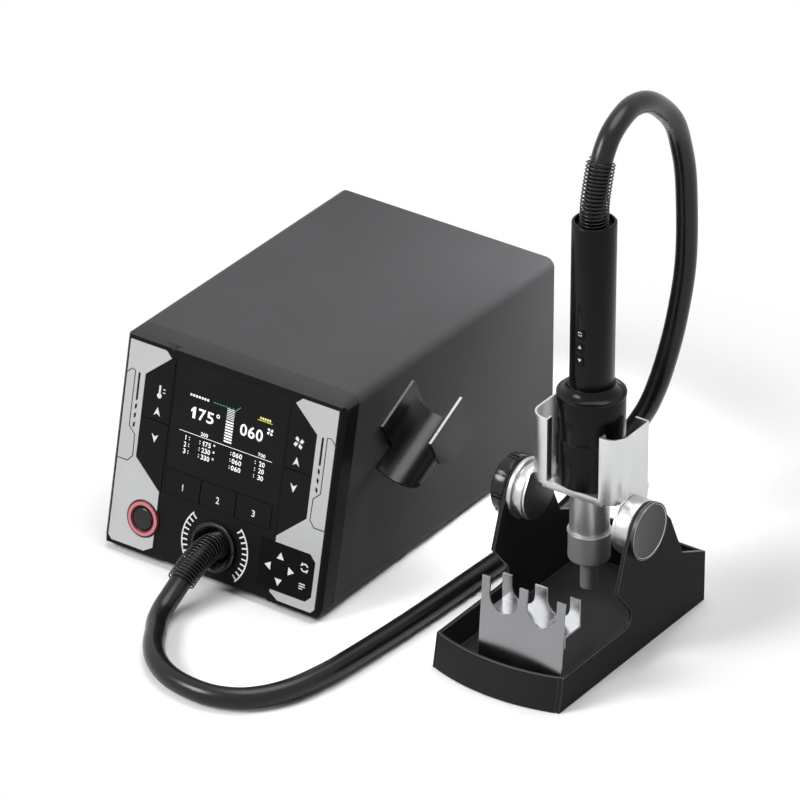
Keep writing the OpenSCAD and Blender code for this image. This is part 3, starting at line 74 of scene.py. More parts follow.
# %% [markdown]
# The drawings of this station count in millimetres from the front left corner of the
# main unit. Three small functions turn such a place into a point of the scene: one for
# the bench, one for the unit on its rubber feet, and one for the sloping front panel,
# where s runs up the slope and w stands out of it.

# %% Places on the bench, the unit and the panel
ORIGIN = (197.3, 146.8)  # the scene's origin, as the drawings count it
FOOT = 4.0
LEAN = math.radians(12.35)


def bench(x, y, z):
    return Vector(((x - ORIGIN[0]) / 1000, (y - ORIGIN[1]) / 1000, z / 1000))


def unit(x, y, z):
    return bench(x, y, z + FOOT)


def panel(x, s, w=0.0):
    sine, cosine = math.sin(LEAN), math.cos(LEAN)
    return unit(x, s * sine - w * cosine, s * cosine + w * sine)


print("the panel starts at", [round(v, 4) for v in panel(0, 0)])

# %% [markdown]
# The photograph was taken with a long lens, so the box's edges stay nearly parallel.
# The camera looks down at about thirty degrees from the front right. Its place comes
# from a fit to the corners of the main unit, so it is set by numbers and not by eye.

# %% The camera
AZIMUTH, HEIGHT = math.radians(35.10), math.radians(29.91)
LENS_MM, SENSOR_MM = 300.46, 36
EYE_MM = (212.524, 101.018, 4776.48)  # right, up and back from the unit's corner
back = Vector((math.sin(AZIMUTH) * math.cos(HEIGHT), -math.cos(AZIMUTH) * math.cos(HEIGHT),
               math.sin(HEIGHT)))
right = Vector((math.cos(AZIMUTH), math.sin(AZIMUTH), 0))
up = back.cross(right)
lens = bpy.data.cameras.new("camera")
lens.lens, lens.sensor_width = LENS_MM, SENSOR_MM
lens.clip_start, lens.clip_end = 0.5, 30
camera = bpy.data.objects.new("camera", lens)
scene.collection.objects.link(camera)
eye = right * EYE_MM[0] + up * EYE_MM[1] + back * EYE_MM[2]
turn = Matrix((right, up, back)).transposed().to_4x4()
camera.matrix_world = Matrix.Translation(unit(*eye)) @ turn
scene.camera = camera
print("camera at", [round(v, 3) for v in camera.location])

# %% [markdown]
# The air hose is one length of soft silicone tube. It leaves the outlet straight, drops
# to the bench, lies in a wide curve round the front of the unit, climbs behind the stand
# and arches over into the top of the handle. Its way could be drawn by eye as a curve
# object, but the CAD model has hose solids that collide. So the way goes through the
# same points as they do, which were placed through the fitted camera.

# %% The hose's way, in metres
HOSE_D = 0.0156
OUTLET = (95.5, 26.5)  # the air outlet's middle on the panel, x and s in mm
out_dir = (panel(0, 0, 1) - panel(0, 0, 0)).normalized()
outlet = panel(*OUTLET)
handle_end = bench(338.65, 117.5, 313.0)
BENCH_LAY = (
    (-0.102, -0.163, 0.029), (-0.102, -0.177, 0.023), (-0.102, -0.190, 0.016),
    (-0.101, -0.204, 0.010), (-0.096, -0.217, 0.008), (-0.089, -0.228, 0.008),
    (-0.078, -0.245, 0.008), (-0.064, -0.259, 0.008), (-0.046, -0.269, 0.008),
    (-0.026, -0.273, 0.008), (-0.007, -0.272, 0.008), (0.011, -0.264, 0.008),
    (0.024, -0.250, 0.008), (0.033, -0.232, 0.008), (0.039, -0.209, 0.008),
    (0.043, -0.182, 0.008), (0.049, -0.112, 0.008), (0.053, -0.021, 0.008),
    (0.055, 0.022, 0.008), (0.058, 0.052, 0.011))
CLIMB = (
    (0.063, 0.076, 0.021), (0.071, 0.092, 0.038), (0.082, 0.099, 0.059), (0.095, 0.100, 0.081),
    (0.108, 0.099, 0.106), (0.119, 0.099, 0.140), (0.126, 0.103, 0.180), (0.130, 0.106, 0.227))
ARCH = (
    (0.131, 0.102, 0.288), (0.132, 0.092, 0.323), (0.134, 0.079, 0.346), (0.135, 0.060, 0.365),
    (0.137, 0.040, 0.378), (0.138, 0.021, 0.383), (0.140, 0.004, 0.382), (0.141, -0.011, 0.375))
INTO_HANDLE = (
    (-0.021, 0.362), (-0.026, 0.346), (handle_end.y, 0.330), (handle_end.y, handle_end.z))
HOSE_WAY = [outlet - out_dir * 0.005, outlet + out_dir * 0.008]
HOSE_WAY += [Vector(place) for place in BENCH_LAY + CLIMB]
MEET = len(HOSE_WAY) - 1  # the point at which the climbing length meets the arch
HOSE_WAY += [Vector(place) for place in ARCH]
HOSE_WAY += [Vector((handle_end.x, y, z)) for y, z in INTO_HANDLE]
END = len(HOSE_WAY) - 1
print("the way has", END + 1, "points, and the lengths meet at number", MEET)

# %% [markdown]
# Straight lines between these points would leave kinks, so a smooth curve runs through
# them: each stretch is a cubic that heads from a point's last neighbour to its next one.
# The tube's rings stand at even steps along it, since uneven ones would show in the gloss.

# %% A smooth curve through the points
FINE = 4000  # trial points, by which a stretch is measured


def on_way(u):
    """Place on the smooth curve through the way's points, u counted in points."""
    i = min(int(u), len(HOSE_WAY) - 2)
    t, b, c = u - i, HOSE_WAY[i], HOSE_WAY[i + 1]
    a = HOSE_WAY[i - 1] if i > 0 else 2 * b - c
    d = HOSE_WAY[i + 2] if i + 2 < len(HOSE_WAY) else 2 * c - b
    return 0.5 * (2 * b + (c - a) * t + (2 * a - 5 * b + 4 * c - d) * t * t
                  + (3 * b - a - 3 * c + d) * t ** 3)


def spaced(first, last, step):
    """Points of the way between two positions, about one step apart."""
    fine = [on_way(first + (last - first) * k / FINE) for k in range(FINE + 1)]
    run = [0.0]
    for p, q in zip(fine, fine[1:]):
        run.append(run[-1] + (q - p).length)
    count = max(2, round(run[-1] / step))
    picked, k = [], 0
    for i in range(count + 1):
        while k < FINE and run[k] < run[-1] * i / count - 1e-9:
            k += 1
        picked.append(fine[k])
    return picked, run[-1]


print("the whole way is", round(spaced(0, END, 0.01)[1], 3), "m long")

# %% [markdown]
# A curve object with a bevel would give a tube at once. This one is made ring by ring,
# so that its end faces stand square to the neighbours that they meet. The rings' zero
# direction is carried along from one to the next, so the tube doesn't twist.

# %% Tube mesh
def link(name, mesh, material=None):
    """An object for a mesh, in the scene, with its material."""
    thing = bpy.data.objects.new(name, mesh)
    scene.collection.objects.link(thing)
    if material:
        mesh.materials.append(material)
    return thing


def meshed(name, draft):
    data = bpy.data.meshes.new(name)
    draft.to_mesh(data)
    draft.free()
    return data


def tube(name, points, radius, sides, material, first=None, last=None, side=None):
    """A closed tube; first and last fix the end rings' directions, side the first ring's turn."""
    mesh = bmesh.new()
    count = len(points)
    heads = [(points[min(i + 1, count - 1)] - points[max(i - 1, 0)]).normalized()
             for i in range(count)]
    heads[0], heads[-1] = first or heads[0], last or heads[-1]
    side = side or heads[0].orthogonal().normalized()
    turns = [2 * math.pi * k / sides for k in range(sides)]
    rings = []
    for place, head in zip(points, heads):
        side = (side - head * side.dot(head)).normalized()
        other = head.cross(side)
        rings.append([mesh.verts.new(place + radius * (math.cos(a) * side + math.sin(a) * other))
                      for a in turns])
    for low, high in zip(rings, rings[1:]):
        for k in range(sides):
            m = (k + 1) % sides
            mesh.faces.new((low[k], low[m], high[m], high[k])).smooth = True
    for cap in (mesh.faces.new(rings[0][::-1]), mesh.faces.new(rings[-1])):
        for edge in cap.edges:
            edge.smooth = False
    print(name, "has", count, "rings of", sides)
    return link(name, meshed(name, mesh), material), side


# %% [markdown]
# A finish is built from noise on the object's own coordinates, so it stays put from every
# side. One fine noise makes the grain that bends the light, one broad noise shifts the
# colour a little, and one moves the gloss, because no real surface is quite even. Noise
# that is squeezed along one way becomes the fine rings of turned metal. Two short
# functions add the nodes: a node's inputs are set to values or linked to other outputs.

# %% Helpers for nodes and finishes
NOISE_LOW, NOISE_HIGH = 0.3, 0.7  # a noise hardly leaves this range
GRAIN_DEPTH = 0.0002
print("the deepest grain is", GRAIN_DEPTH * 1000, "mm")


def feed(net, made, inputs):
    for key, value in inputs.items():
        if isinstance(value, bpy.types.NodeSocket):
            net.links.new(value, made.inputs[key])
        else:
            made.inputs[key].default_value = value


def node(net, kind, inputs={}, out=0, **settings):
    """Adds a node and gives one of its outputs, the first if no other is asked for."""
    made = net.nodes.new(kind)
    for key, value in settings.items():
        setattr(made, key, value)
    feed(net, made, inputs)
    return made.outputs[out] if made.outputs else None


def finish(name, colour, rough, metal=0.0, specular=0.5, grain=(900, 0.15), mottle=(35, 0.12),
           gloss=(60, 0.06), stretch=(1, 1, 1), glow=0.0):
    """A material. Grain, mottle and gloss each give a noise's scale and its strength,
    and stretch squeezes grain and gloss along x, y or z."""
    made = bpy.data.materials.new(name)
    made.use_nodes = True
    net = made.node_tree
    place = node(net, "ShaderNodeTexCoord", out="Object")
    stretched = node(net, "ShaderNodeMapping", {"Vector": place, "Scale": stretch})

    def noise(scale, source, detail=3.0):
        return node(net, "ShaderNodeTexNoise", {
            "Vector": source, "Scale": scale, "Detail": detail})

    def ranged(value, low, high):
        return node(net, "ShaderNodeMapRange", {
            "Value": value, "From Min": NOISE_LOW, "From Max": NOISE_HIGH, "To Min": low,
            "To Max": high})

    tint = node(net, "ShaderNodeMix", {
        "Factor": ranged(noise(mottle[0], place), 0, 1),
        "A": [c * (1 - mottle[1]) for c in colour] + [1],
        "B": [min(1, c * (1 + mottle[1])) for c in colour] + [1]}, out="Result", data_type="RGBA")
    low, high = max(0.02, rough - gloss[1]), min(1, rough + gloss[1])
    inputs = {"Metallic": metal, "Specular IOR Level": specular, "Base Color": tint,
              "Roughness": ranged(noise(gloss[0], stretched), low, high)}
    if grain[1]:
        inputs["Normal"] = node(net, "ShaderNodeBump", {
            "Strength": grain[1], "Distance": GRAIN_DEPTH,
            "Height": noise(grain[0], stretched, 2.0)})
    if glow:
        inputs.update({"Emission Color": tint, "Emission Strength": glow})
    feed(net, net.nodes["Principled BSDF"], inputs)
    return made


# %% [markdown]
# Silicone hose is deep black with a soft, even shine, so its grain is very faint. The
# real one is one piece. Here two lengths meet on the climb: the first runs from the
# outlet to the cradle, and the second from there into the handle. Where they meet, both
# end in the same ring.

# %% The hose's two lengths
HOSE_SIDES = 32
BENCH_STEP, TOP_STEP, NUDGE = 0.004, 0.003, 0.02
hose_rubber = finish("hose_rubber", (0.006, 0.006, 0.007), 0.27, specular=0.34,
                     grain=(1500, 0.02), gloss=(40, 0.04))
bench_points, bench_run = spaced(0, MEET, BENCH_STEP)
top_points, top_run = spaced(MEET, END, TOP_STEP)
meeting = (on_way(MEET + NUDGE) - on_way(MEET - NUDGE)).normalized()
air_hose, side = tube("air_hose", bench_points, HOSE_D / 2, HOSE_SIDES, hose_rubber, last=meeting)
air_hose_top, side = tube("air_hose_top", top_points, HOSE_D / 2, HOSE_SIDES, hose_rubber,
                          first=meeting, side=side)
print("hose", round(bench_run, 3), "+", round(top_run, 3), "m")

# %% [markdown]
# Real edges are never razor sharp: a press, a mould or a file leaves a small radius that
# catches the light. The CAD solids have sharp ones, so most hard pieces are shown by a
# softened copy. Its triangles are merged into whole faces, and then each sharp edge gets
# a narrow rounded bevel. A bevel inside the shader would be quicker, but it doesn't
# change the outline, and it is lost in the export.

# %% Softened copies
cad = frame["nodes"]
SAME_PLACE = 2e-6
FLAT, SHARP, CREASE = math.radians(0.6), math.radians(38), math.radians(42)
FACE_WEIGHT = 80  # how much a large face outweighs a small one


def evaluated(thing):
    """The plain mesh that an object's modifiers, or its text, make."""
    bpy.context.view_layer.update()
    shaped = thing.evaluated_get(bpy.context.evaluated_depsgraph_get())
    return bpy.data.meshes.new_from_object(shaped)


def stands_for(thing, name):
    """Shows a piece in place of a CAD node, on that node's body."""
    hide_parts(name)
    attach(thing, cad[name]["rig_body"])


def softened(name, width, material, segments=2, flat=False, rim=None, other=None, picked=None):
    """A bevelled copy. The bevels may have a finish of their own, rim, and so may the
    faces that picked(normal, middle) chooses, other. On a flat piece the large faces
    keep their own direction, and only the bevels turn the light."""
    mesh = bmesh.new()
    mesh.from_mesh(cad[name].data)
    bmesh.ops.remove_doubles(mesh, verts=mesh.verts, dist=SAME_PLACE)
    bmesh.ops.dissolve_limit(mesh, angle_limit=FLAT, verts=mesh.verts, edges=mesh.edges)
    more = [extra for extra in (rim, other) if extra]
    for face in mesh.faces:
        chosen = picked and picked(face.normal, face.calc_center_median())
        face.material_index = len(more) if chosen else 0
    if width:
        edges = [e for e in mesh.edges if len(e.link_faces) == 2 and e.calc_face_angle(0) > SHARP]
        made = bmesh.ops.bevel(mesh, geom=edges, offset=width / 1000, segments=segments,
                               profile=0.5, affect="EDGES", clamp_overlap=True, loop_slide=True)
        for face in made["faces"] if rim else ():
            face.material_index = 1
    data = meshed(name + "_soft", mesh)
    data.shade_smooth()
    data.set_sharp_from_angle(angle=CREASE)
    copy = link(name + "_soft", data, material)
    for extra in more:
        data.materials.append(extra)
    if flat:
        even = copy.modifiers.new("even", "WEIGHTED_NORMAL")
        even.keep_sharp, even.weight = True, FACE_WEIGHT
        copy.data = evaluated(copy)
        copy.modifiers.clear()
    stands_for(copy, name)
    print(copy.name, "has", len(copy.data.polygons), "faces")


# %% [markdown]
# The cover is one folded steel sheet, and the rear panel closes it. Both have a satin
# powder coat: dark grey, faintly rippled, with a soft sheen. Their folds are already
# round in the CAD model, so the shapes stay, and only a finish is put on them.

# %% Cover and rear panel
def painted(material, *names):
    """A finish for CAD nodes whose shape stays as it is."""
    for name in names:
        for slot in cad[name].material_slots:
            slot.material = material
    print(material.name, "is on", ", ".join(names))


POWDER_COAT = dict(grain=(1800, 0.08), mottle=(12, 0.05), gloss=(25, 0.04))
cover_paint = finish("cover_paint", (0.070, 0.070, 0.073), 0.38, specular=0.03, **POWDER_COAT)
painted(cover_paint, "housing_cover", "rear_panel")

# %% [markdown]
# What lies under the unit and inside it shows only when the box is opened. The chassis
# is zinc-plated sheet, the boards are green laminate, the blower is moulded and its motor
# cast, and the transformer's core is a stack of thin steel plates, which noise squeezed
# along its height shows as lines. The CAD shapes are enough here, so they get finishes.

# %% Inside and underside
PLATES_LYING = (1, 1, 12)
painted(finish("zinc_sheet", (0.50, 0.51, 0.53), 0.38, metal=0.9, grain=(500, 0.08),
               mottle=(80, 0.12)), "base_chassis", "unit_screws", "pivot_bolt")
painted(finish("cast_alloy", (0.45, 0.46, 0.48), 0.45, metal=0.8, grain=(900, 0.25),
               mottle=(60, 0.1)), "blower_impeller", "blower_motor", "heat_sink")
painted(finish("core_steel", (0.12, 0.12, 0.13), 0.45, metal=0.7, grain=(900, 0.3),
               stretch=PLATES_LYING), "transformer")
painted(finish("circuit_board", (0.012, 0.09, 0.04), 0.3, grain=(700, 0.1), mottle=(300, 0.25)),
        "control_board", "keypad_board", "power_board", "handle_board")
painted(finish("display_glass", (0.01, 0.012, 0.015), 0.2, grain=(100, 0.0)), "display_module")
painted(finish("blower_plastic", (0.015, 0.016, 0.018), 0.5, grain=(1200, 0.2)),
        "blower_housing", "power_switch_body", "hose_coupler")
painted(finish("rubber_black", (0.012, 0.012, 0.012), 0.7, grain=(1500, 0.2)),
        "unit_feet", "stand_pads")
painted(finish("ceramic", (0.72, 0.68, 0.60), 0.6, grain=(800, 0.15)), "heater_core")
gloss_black = finish("gloss_black", (0.005, 0.005, 0.006), 0.18, specular=0.40,
                     grain=(300, 0.01), gloss=(40, 0.03))
painted(gloss_black, "mains_inlet", "fuse_holder")

# %% [markdown]
# The sloping front is a fine, dull moulding. Its top edge is a band in the cover's paint,
# so the two look like one shell, but a little darker, which is painted shade. As a piece
# of its own it would show a seam that the real one doesn't have. So its faces are picked
# instead, by where they point and how high they lie.

# %% The front moulding
BAND_SLOPE, BAND_HEIGHT = 0.35, 0.1
panel_plastic = finish("panel_plastic", (0.007, 0.007, 0.0075), 0.40, specular=0.09,
                       grain=(2600, 0.08), gloss=(50, 0.04))
# The band's colour is the cover's paint made darker: painted shade.
band_shaded_paint = finish("band_shaded_paint", (0.054, 0.054, 0.056), 0.38, specular=0.04, **POWDER_COAT)
softened("front_fascia", 0.5, panel_plastic, flat=True, other=band_shaded_paint,
         picked=lambda normal, middle: normal.z > BAND_SLOPE and middle.z > BAND_HEIGHT)

# %% [markdown]
# Two silver plates frame the panel. They are anodised aluminium: a fully metallic finish
# would mirror the white room, and plain paint would look dead, so it is partly metallic
# and fairly rough. The window is dark and smooth. The keys and the keypad's film are
# dull black, so only their bevels tell them from the panel.

# %% Trim plates, window, keys and keypad
trim_silver = finish("trim_silver", (0.57, 0.575, 0.58), 0.42, metal=0.4, specular=0.4,
                     grain=(2400, 0.05), mottle=(40, 0.03), gloss=(50, 0.03))
window_glass = finish("window_glass", (0.011, 0.011, 0.0115), 0.22, specular=0.08,
                      grain=(60, 0.01), gloss=(20, 0.03))
key_plastic = finish("key_plastic", (0.006, 0.006, 0.0065), 0.42, specular=0.10,
                     grain=(3000, 0.08), gloss=(80, 0.05))
keypad_film = finish("keypad_film", (0.005, 0.005, 0.0055), 0.45, specular=0.06,
                     grain=(3500, 0.06))
for name in ("left_trim_plate", "right_trim_plate"):
    softened(name, 0.12, trim_silver, segments=1, flat=True)
softened("display_window", 0.2, window_glass, flat=True)
for name in ("temp_up_key", "temp_down_key", "air_up_key", "air_down_key",
             "channel_key_1", "channel_key_2", "channel_key_3"):
    softened(name, 0.2, key_plastic, flat=True)
softened("keypad_overlay", 0.1, keypad_film, flat=True)

# %% [markdown]
# The power button is a glossy black cap in a dark red ring, and the air outlet has a
# glossy collar. A clear coat over a dull colour could make the gloss, but black plastic
# is one material, so a low roughness does it.

# %% Power button and outlet collar
ring_red = finish("ring_red", (0.085, 0.008, 0.012), 0.35, specular=0.2, grain=(900, 0.03),
                  mottle=(90, 0.10))
softened("power_light_ring", 0, ring_red)
softened("power_button", 0.3, gloss_black)
softened("outlet_collar", 0.3, gloss_black)

# %% [markdown]
# The hook on the cover's side is bent sheet steel. Its paint is much darker than the
# cover's, which is painted shade, and glossier, so it shows a long highlight in its
# trough. Its top edges get a light metal finish, which is a painted highlight. They are
# picked as the faces that point straight up the tilted hook. The bevels are a shade
# lighter than the paint, which is a painted highlight along the edges.

# %% The side hook
HOOK_TILT, HOOK_TOP, STRAIGHT_UP = math.radians(27), 0.14, 0.995
hook_up = Vector((0, -math.sin(HOOK_TILT), math.cos(HOOK_TILT)))
# Much darker than the cover paint: painted shade of the dark side it sits on.
hook_shaded_paint = finish("hook_shaded_paint", (0.006, 0.006, 0.007), 0.30, specular=0.42,
                    grain=(1800, 0.03), mottle=(12, 0.05), gloss=(25, 0.03))
# The two edge finishes are lighter than the pieces they edge: painted highlights along edges.
EDGE_HIGHLIGHT_NOISE = dict(grain=(900, 0.03), mottle=(60, 0.05), gloss=(60, 0.03))
edge_highlight_metal = finish("edge_highlight_metal", (0.62, 0.625, 0.63), 0.30, metal=0.5, **EDGE_HIGHLIGHT_NOISE)
# A grey lighter than the dark paints, for bevels: a painted highlight.
edge_highlight_grey = finish("edge_highlight_grey", (0.10, 0.10, 0.104), 0.35, specular=0.4, **EDGE_HIGHLIGHT_NOISE)
# Top edges get light metal and bevels a lighter grey: both are painted highlights.
softened("side_hook", 0.3, hook_shaded_paint, flat=True, rim=edge_highlight_grey, other=edge_highlight_metal,
         picked=lambda normal, middle: (normal.dot(hook_up) > STRAIGHT_UP
                                        and middle.dot(hook_up) > HOOK_TOP))

# %% [markdown]
# The stand is painted sheet steel too. On it sit a rack of polished steel for spare
# nozzles, and at the pivot two turned drums, a grey disc and a black star knob. Turned
# metal has fine rings round its axis, which is x here. The shader's anisotropy could
# hint at them, but noise that is squeezed along x shows real rings, and it exports.

# %% The stand
TURNED_ON_X, TURNED_ON_Z = (30, 1, 1), (1, 1, 30)
stand_paint = finish("stand_paint", (0.032, 0.032, 0.033), 0.34, specular=0.04,
                     grain=(2000, 0.08), mottle=(15, 0.08), gloss=(30, 0.05))
polished_steel = finish("polished_steel", (0.27, 0.273, 0.28), 0.24, metal=1.0,
                        grain=(60, 0.01), mottle=(20, 0.03), gloss=(30, 0.03))
drum_steel = finish("drum_steel", (0.56, 0.565, 0.57), 0.30, metal=1.0, grain=(60, 0.02),
                    mottle=(30, 0.02), gloss=(30, 0.02), stretch=TURNED_ON_X)
disc_grey = finish("disc_grey", (0.060, 0.060, 0.063), 0.40, metal=0.3, grain=(2000, 0.05),
                   mottle=(25, 0.06), gloss=(40, 0.04))
# The frame's bevels are a lighter grey: a painted highlight along its edges.
softened("stand_frame", 0.4, stand_paint, flat=True, rim=edge_highlight_grey)
# The rack's bevels are light metal: a painted highlight along its edges.
softened("nozzle_rack", 0.2, polished_steel, flat=True, rim=edge_highlight_metal)
for name in ("left_drum", "right_drum"):
    softened(name, 0.5, drum_steel)
# The disc's bevels are light metal: a painted highlight round its rim.
softened("end_disc", 0.4, disc_grey, rim=edge_highlight_metal)
softened("star_knob", 0.25, gloss_black)

# %% [markdown]
# The cradle that holds the handpiece is folded from bright satin sheet. Round the bolt
# its left lug shows a face of dark grey, like the end disc's. A separate disc could lie
# on the lug, but a picked face needs no gap. It is picked by where it points, how far
# to the right it lies, and its height.

# %% The cradle
LUG_X, NEAR, LUG_TOP, STRAIGHT_RIGHT = 0.10485, 0.0006, 0.11, 0.99
satin_steel = finish("satin_steel", (0.68, 0.685, 0.69), 0.36, metal=1.0, grain=(60, 0.02),
                     mottle=(30, 0.03), gloss=(30, 0.03), stretch=TURNED_ON_Z)
# The cradle's bevels are light metal: a painted highlight along its edges.
softened("cradle", 0.25, satin_steel, rim=edge_highlight_metal, other=disc_grey,
         picked=lambda normal, middle: (normal.x > STRAIGHT_RIGHT and abs(middle.x - LUG_X) < NEAR
                                        and middle.z < LUG_TOP))

# %% [markdown]
# The handpiece is a round handle of smooth black plastic over a steel heater tube. Heat
# dulls the clamp and the nozzle, so they are a shade darker and rougher than the tube.
# The steel is turned about z, so its noise is squeezed along z. A brushed picture would
# need a place for its seams.

# %% The handpiece
handle_plastic = finish("handle_plastic", (0.006, 0.006, 0.007), 0.22, specular=0.15,
                        grain=(2400, 0.06), gloss=(60, 0.04))
TURNED = dict(grain=(60, 0.02), mottle=(40, 0.03), gloss=(30, 0.02), stretch=TURNED_ON_Z)
stainless = finish("stainless", (0.66, 0.655, 0.645), 0.36, metal=0.75, **TURNED)
nozzle_steel = finish("nozzle_steel", (0.54, 0.537, 0.53), 0.40, metal=0.55, **TURNED)
for name in ("handle_shell", "flared_collar", "heat_sleeve"):
    softened(name, 0.3, handle_plastic)
for name in ("handle_key_1", "handle_key_2", "handle_key_3"):
    softened(name, 0.3, key_plastic)
softened("heater_tube", 0.25, stainless)
for name in ("nozzle_clamp", "nozzle_tip"):
    softened(name, 0.25, nozzle_steel)

# %% [markdown]
# What repeats is made by Geometry Nodes: a small tree of nodes that makes a mesh from a
# simple one and a few named sizes. Such a tree can be drawn in the node editor, or
# built in a script, as here. Four helpers keep that short: they start a tree, add a sum,
# end the tree, and run it on a mesh and keep the plain mesh it makes.

# %% Helpers for node trees
def tree(name, inputs):
    group = bpy.data.node_groups.new(name, "GeometryNodeTree")
    sockets = group.interface
    for label, kind, value in [("Geometry", "Geometry", None)] + inputs:
        socket = sockets.new_socket(label, in_out="INPUT", socket_type="NodeSocket" + kind)
        if value is not None:
            socket.default_value = value
    sockets.new_socket("Geometry", in_out="OUTPUT", socket_type="NodeSocketGeometry")
    return group


def math_node(group, operation, a, b=0.0):
    return node(group, "ShaderNodeMath", {0: a, 1: b}, operation=operation)


def ended(group, mesh, material):
    """The end of each tree: real copies, since an export drops instances, and a finish."""
    real = node(group, "GeometryNodeRealizeInstances", {"Geometry": mesh})
    dyed = node(group, "GeometryNodeSetMaterial", {"Geometry": real, "Material": material})
    node(group, "NodeGroupOutput", {"Geometry": dyed})
    print(group.name, "has", len(group.nodes), "nodes")


def grown(name, mesh, group, values):
    """Runs a tree on a mesh and returns the plain mesh that it makes."""
    base = link(name + "_base", mesh)
    modifier = base.modifiers.new("grow", "NODES")
    modifier.node_group = group
    keys = {i.name: i.identifier for i in group.interface.items_tree if i.in_out == "INPUT"}
    for label, value in values.items():
        modifier[keys[label]] = value
    shaped = evaluated(base)
    bpy.data.objects.remove(base)
    shaped.name = name
    return shaped


# %% [markdown]
# An open coil spring guards the hose at each end. It could be a screw modifier on a
# circle, but only on a straight axis. A spring is a rule more than a shape: walk along
# the hose's way, and swing round it once a turn. The tree takes a line, sets its points
# out from it by sine and cosine of the turn, and sweeps a round wire along the result.

# %% The spring tree
STEPS_A_TURN, WIRE_SIDES = 28.0, 10
coil = tree("coil_round_line", [("Turns", "Float", 18.0), ("Radius", "Float", 0.00965),
                                ("Wire", "Float", 0.0013), ("Material", "Material", None)])
given = coil.nodes.new("NodeGroupInput").outputs
line = node(coil, "GeometryNodeMeshToCurve", {"Mesh": given["Geometry"]})
line = node(coil, "GeometryNodeSetCurveNormal", {"Curve": line})
steps = math_node(coil, "MULTIPLY", given["Turns"], STEPS_A_TURN)
line = node(coil, "GeometryNodeResampleCurve", {"Curve": line, "Count": steps})
along = node(coil, "GeometryNodeSplineParameter")
turned = math_node(coil, "MULTIPLY", along, given["Turns"])
angle = math_node(coil, "MULTIPLY", turned, 2 * math.pi)
normal = node(coil, "GeometryNodeInputNormal")
tangent = node(coil, "GeometryNodeInputTangent")
across = node(coil, "ShaderNodeVectorMath", {0: tangent, 1: normal}, operation="CROSS_PRODUCT")
swings = []
for way, operation in ((normal, "COSINE"), (across, "SINE")):
    reach = math_node(coil, "MULTIPLY", math_node(coil, operation, angle), given["Radius"])
    swings.append(node(coil, "ShaderNodeVectorMath", {0: way, "Scale": reach}, operation="SCALE"))
offset = node(coil, "ShaderNodeVectorMath", {0: swings[0], 1: swings[1]}, operation="ADD")
wound = node(coil, "GeometryNodeSetPosition", {"Geometry": line, "Offset": offset})
wire = node(coil, "GeometryNodeCurvePrimitiveCircle",
            {"Resolution": WIRE_SIDES, "Radius": math_node(coil, "MULTIPLY", given["Wire"], 0.5)})
swept = node(coil, "GeometryNodeCurveToMesh",
             {"Curve": wound, "Profile Curve": wire, "Fill Caps": True})
smooth = node(coil, "GeometryNodeSetShadeSmooth", {"Geometry": swept})
ended(coil, smooth, given["Material"])

# %% [markdown]
# Each spring starts just inside its mouth and takes eighteen turns, 2.6 mm apart. The
# way counts in points, which lie about 14.5 mm apart at the outlet and 16.5 mm at the
# handle, so the springs' ends are worked out from that. The wire is blackened steel.

# %% Two springs
TURNS, PITCH = 18.0, 2.6
LINE_STEP = 0.002
OUTLET_START, OUTLET_GAP = 0.07, 14.5  # a place on the way, and mm between its points
HANDLE_START, HANDLE_GAP = END - 0.06, 16.5
spring_black = finish("spring_black", (0.008, 0.008, 0.009), 0.22, specular=0.35,
                      grain=(1800, 0.03))


def spring(name, cad_node, first, last):
    points, run = spaced(first, last, LINE_STEP)
    data = bpy.data.meshes.new(name)
    data.from_pydata(points, [(i, i + 1) for i in range(len(points) - 1)], [])
    mesh = grown(name, data, coil, {"Turns": TURNS, "Material": spring_black})
    thing = link(name, mesh)
    stands_for(thing, cad_node)
    print(name, round(run, 4), "m long,", len(mesh.vertices), "points")
    return thing


outlet_coil = spring("outlet_coil", "outlet_spring", OUTLET_START,
                     OUTLET_START + TURNS * PITCH / OUTLET_GAP)
handle_coil = spring("handle_coil", "handle_spring", HANDLE_START,
                     HANDLE_START - TURNS * PITCH / HANDLE_GAP)

# %% [markdown]
# The panel's signs are silk-screened: flat white ink a few hundredths of a millimetre
# thick. They could be a picture on the panel, but a sign of real geometry stays sharp at
# any size. Each sign is an outline on the panel, in millimetres, given a thin body. The
# panel's own frame, with x to the right and s up the slope, puts it in its place.

# %% Ink on the panel
PANEL = Matrix((Vector((1, 0, 0)), (panel(0, 1) - panel(0, 0)) * 1000, out_dir)).transposed()
PANEL = Matrix.Translation(panel(0, 0)) @ PANEL.to_4x4()
print("the panel leans back by", round(math.degrees(LEAN), 2), "degrees")


def add_outline(mesh, points, low, high):
    """A flat plate on the panel: points in mm, from low to high out of it."""
    bottom, top = ([mesh.verts.new((x / 1000, s / 1000, w / 1000)) for x, s in points]
                   for w in (low, high))
    mesh.faces.new(top)
    mesh.faces.new(bottom[::-1])
    for i in range(len(points)):
        j = (i + 1) % len(points)
        mesh.faces.new((bottom[i], bottom[j], top[j], top[i]))


def ink(name, body, slot, material, outlines=(), numbers=(), low=0.0, high=0.06, frame_of=PANEL):
    """Flat signs that ride on a body. The slot, that of the surface they are printed on, is not
    used.
    """
    mesh = bmesh.new()
    for points in outlines:
        add_outline(mesh, points, low, high)
    for number in numbers:
        add_number(mesh, *number, low, high)
    bmesh.ops.remove_doubles(mesh, verts=mesh.verts, dist=1e-7)
    bmesh.ops.recalc_face_normals(mesh, faces=mesh.faces)
    data = meshed(name, mesh)
    data.transform(frame_of)
    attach(link(name, data, material), body)
    print(name, "rides on", body, "with", len(data.polygons), "faces")


# %% [markdown]
# A number comes from a text object, made a mesh and fitted into its space on the panel.
# Each digit gets a cell of the same width, as on a real display. The font's own one is a
# thin stroke, so it is drawn as an outline.

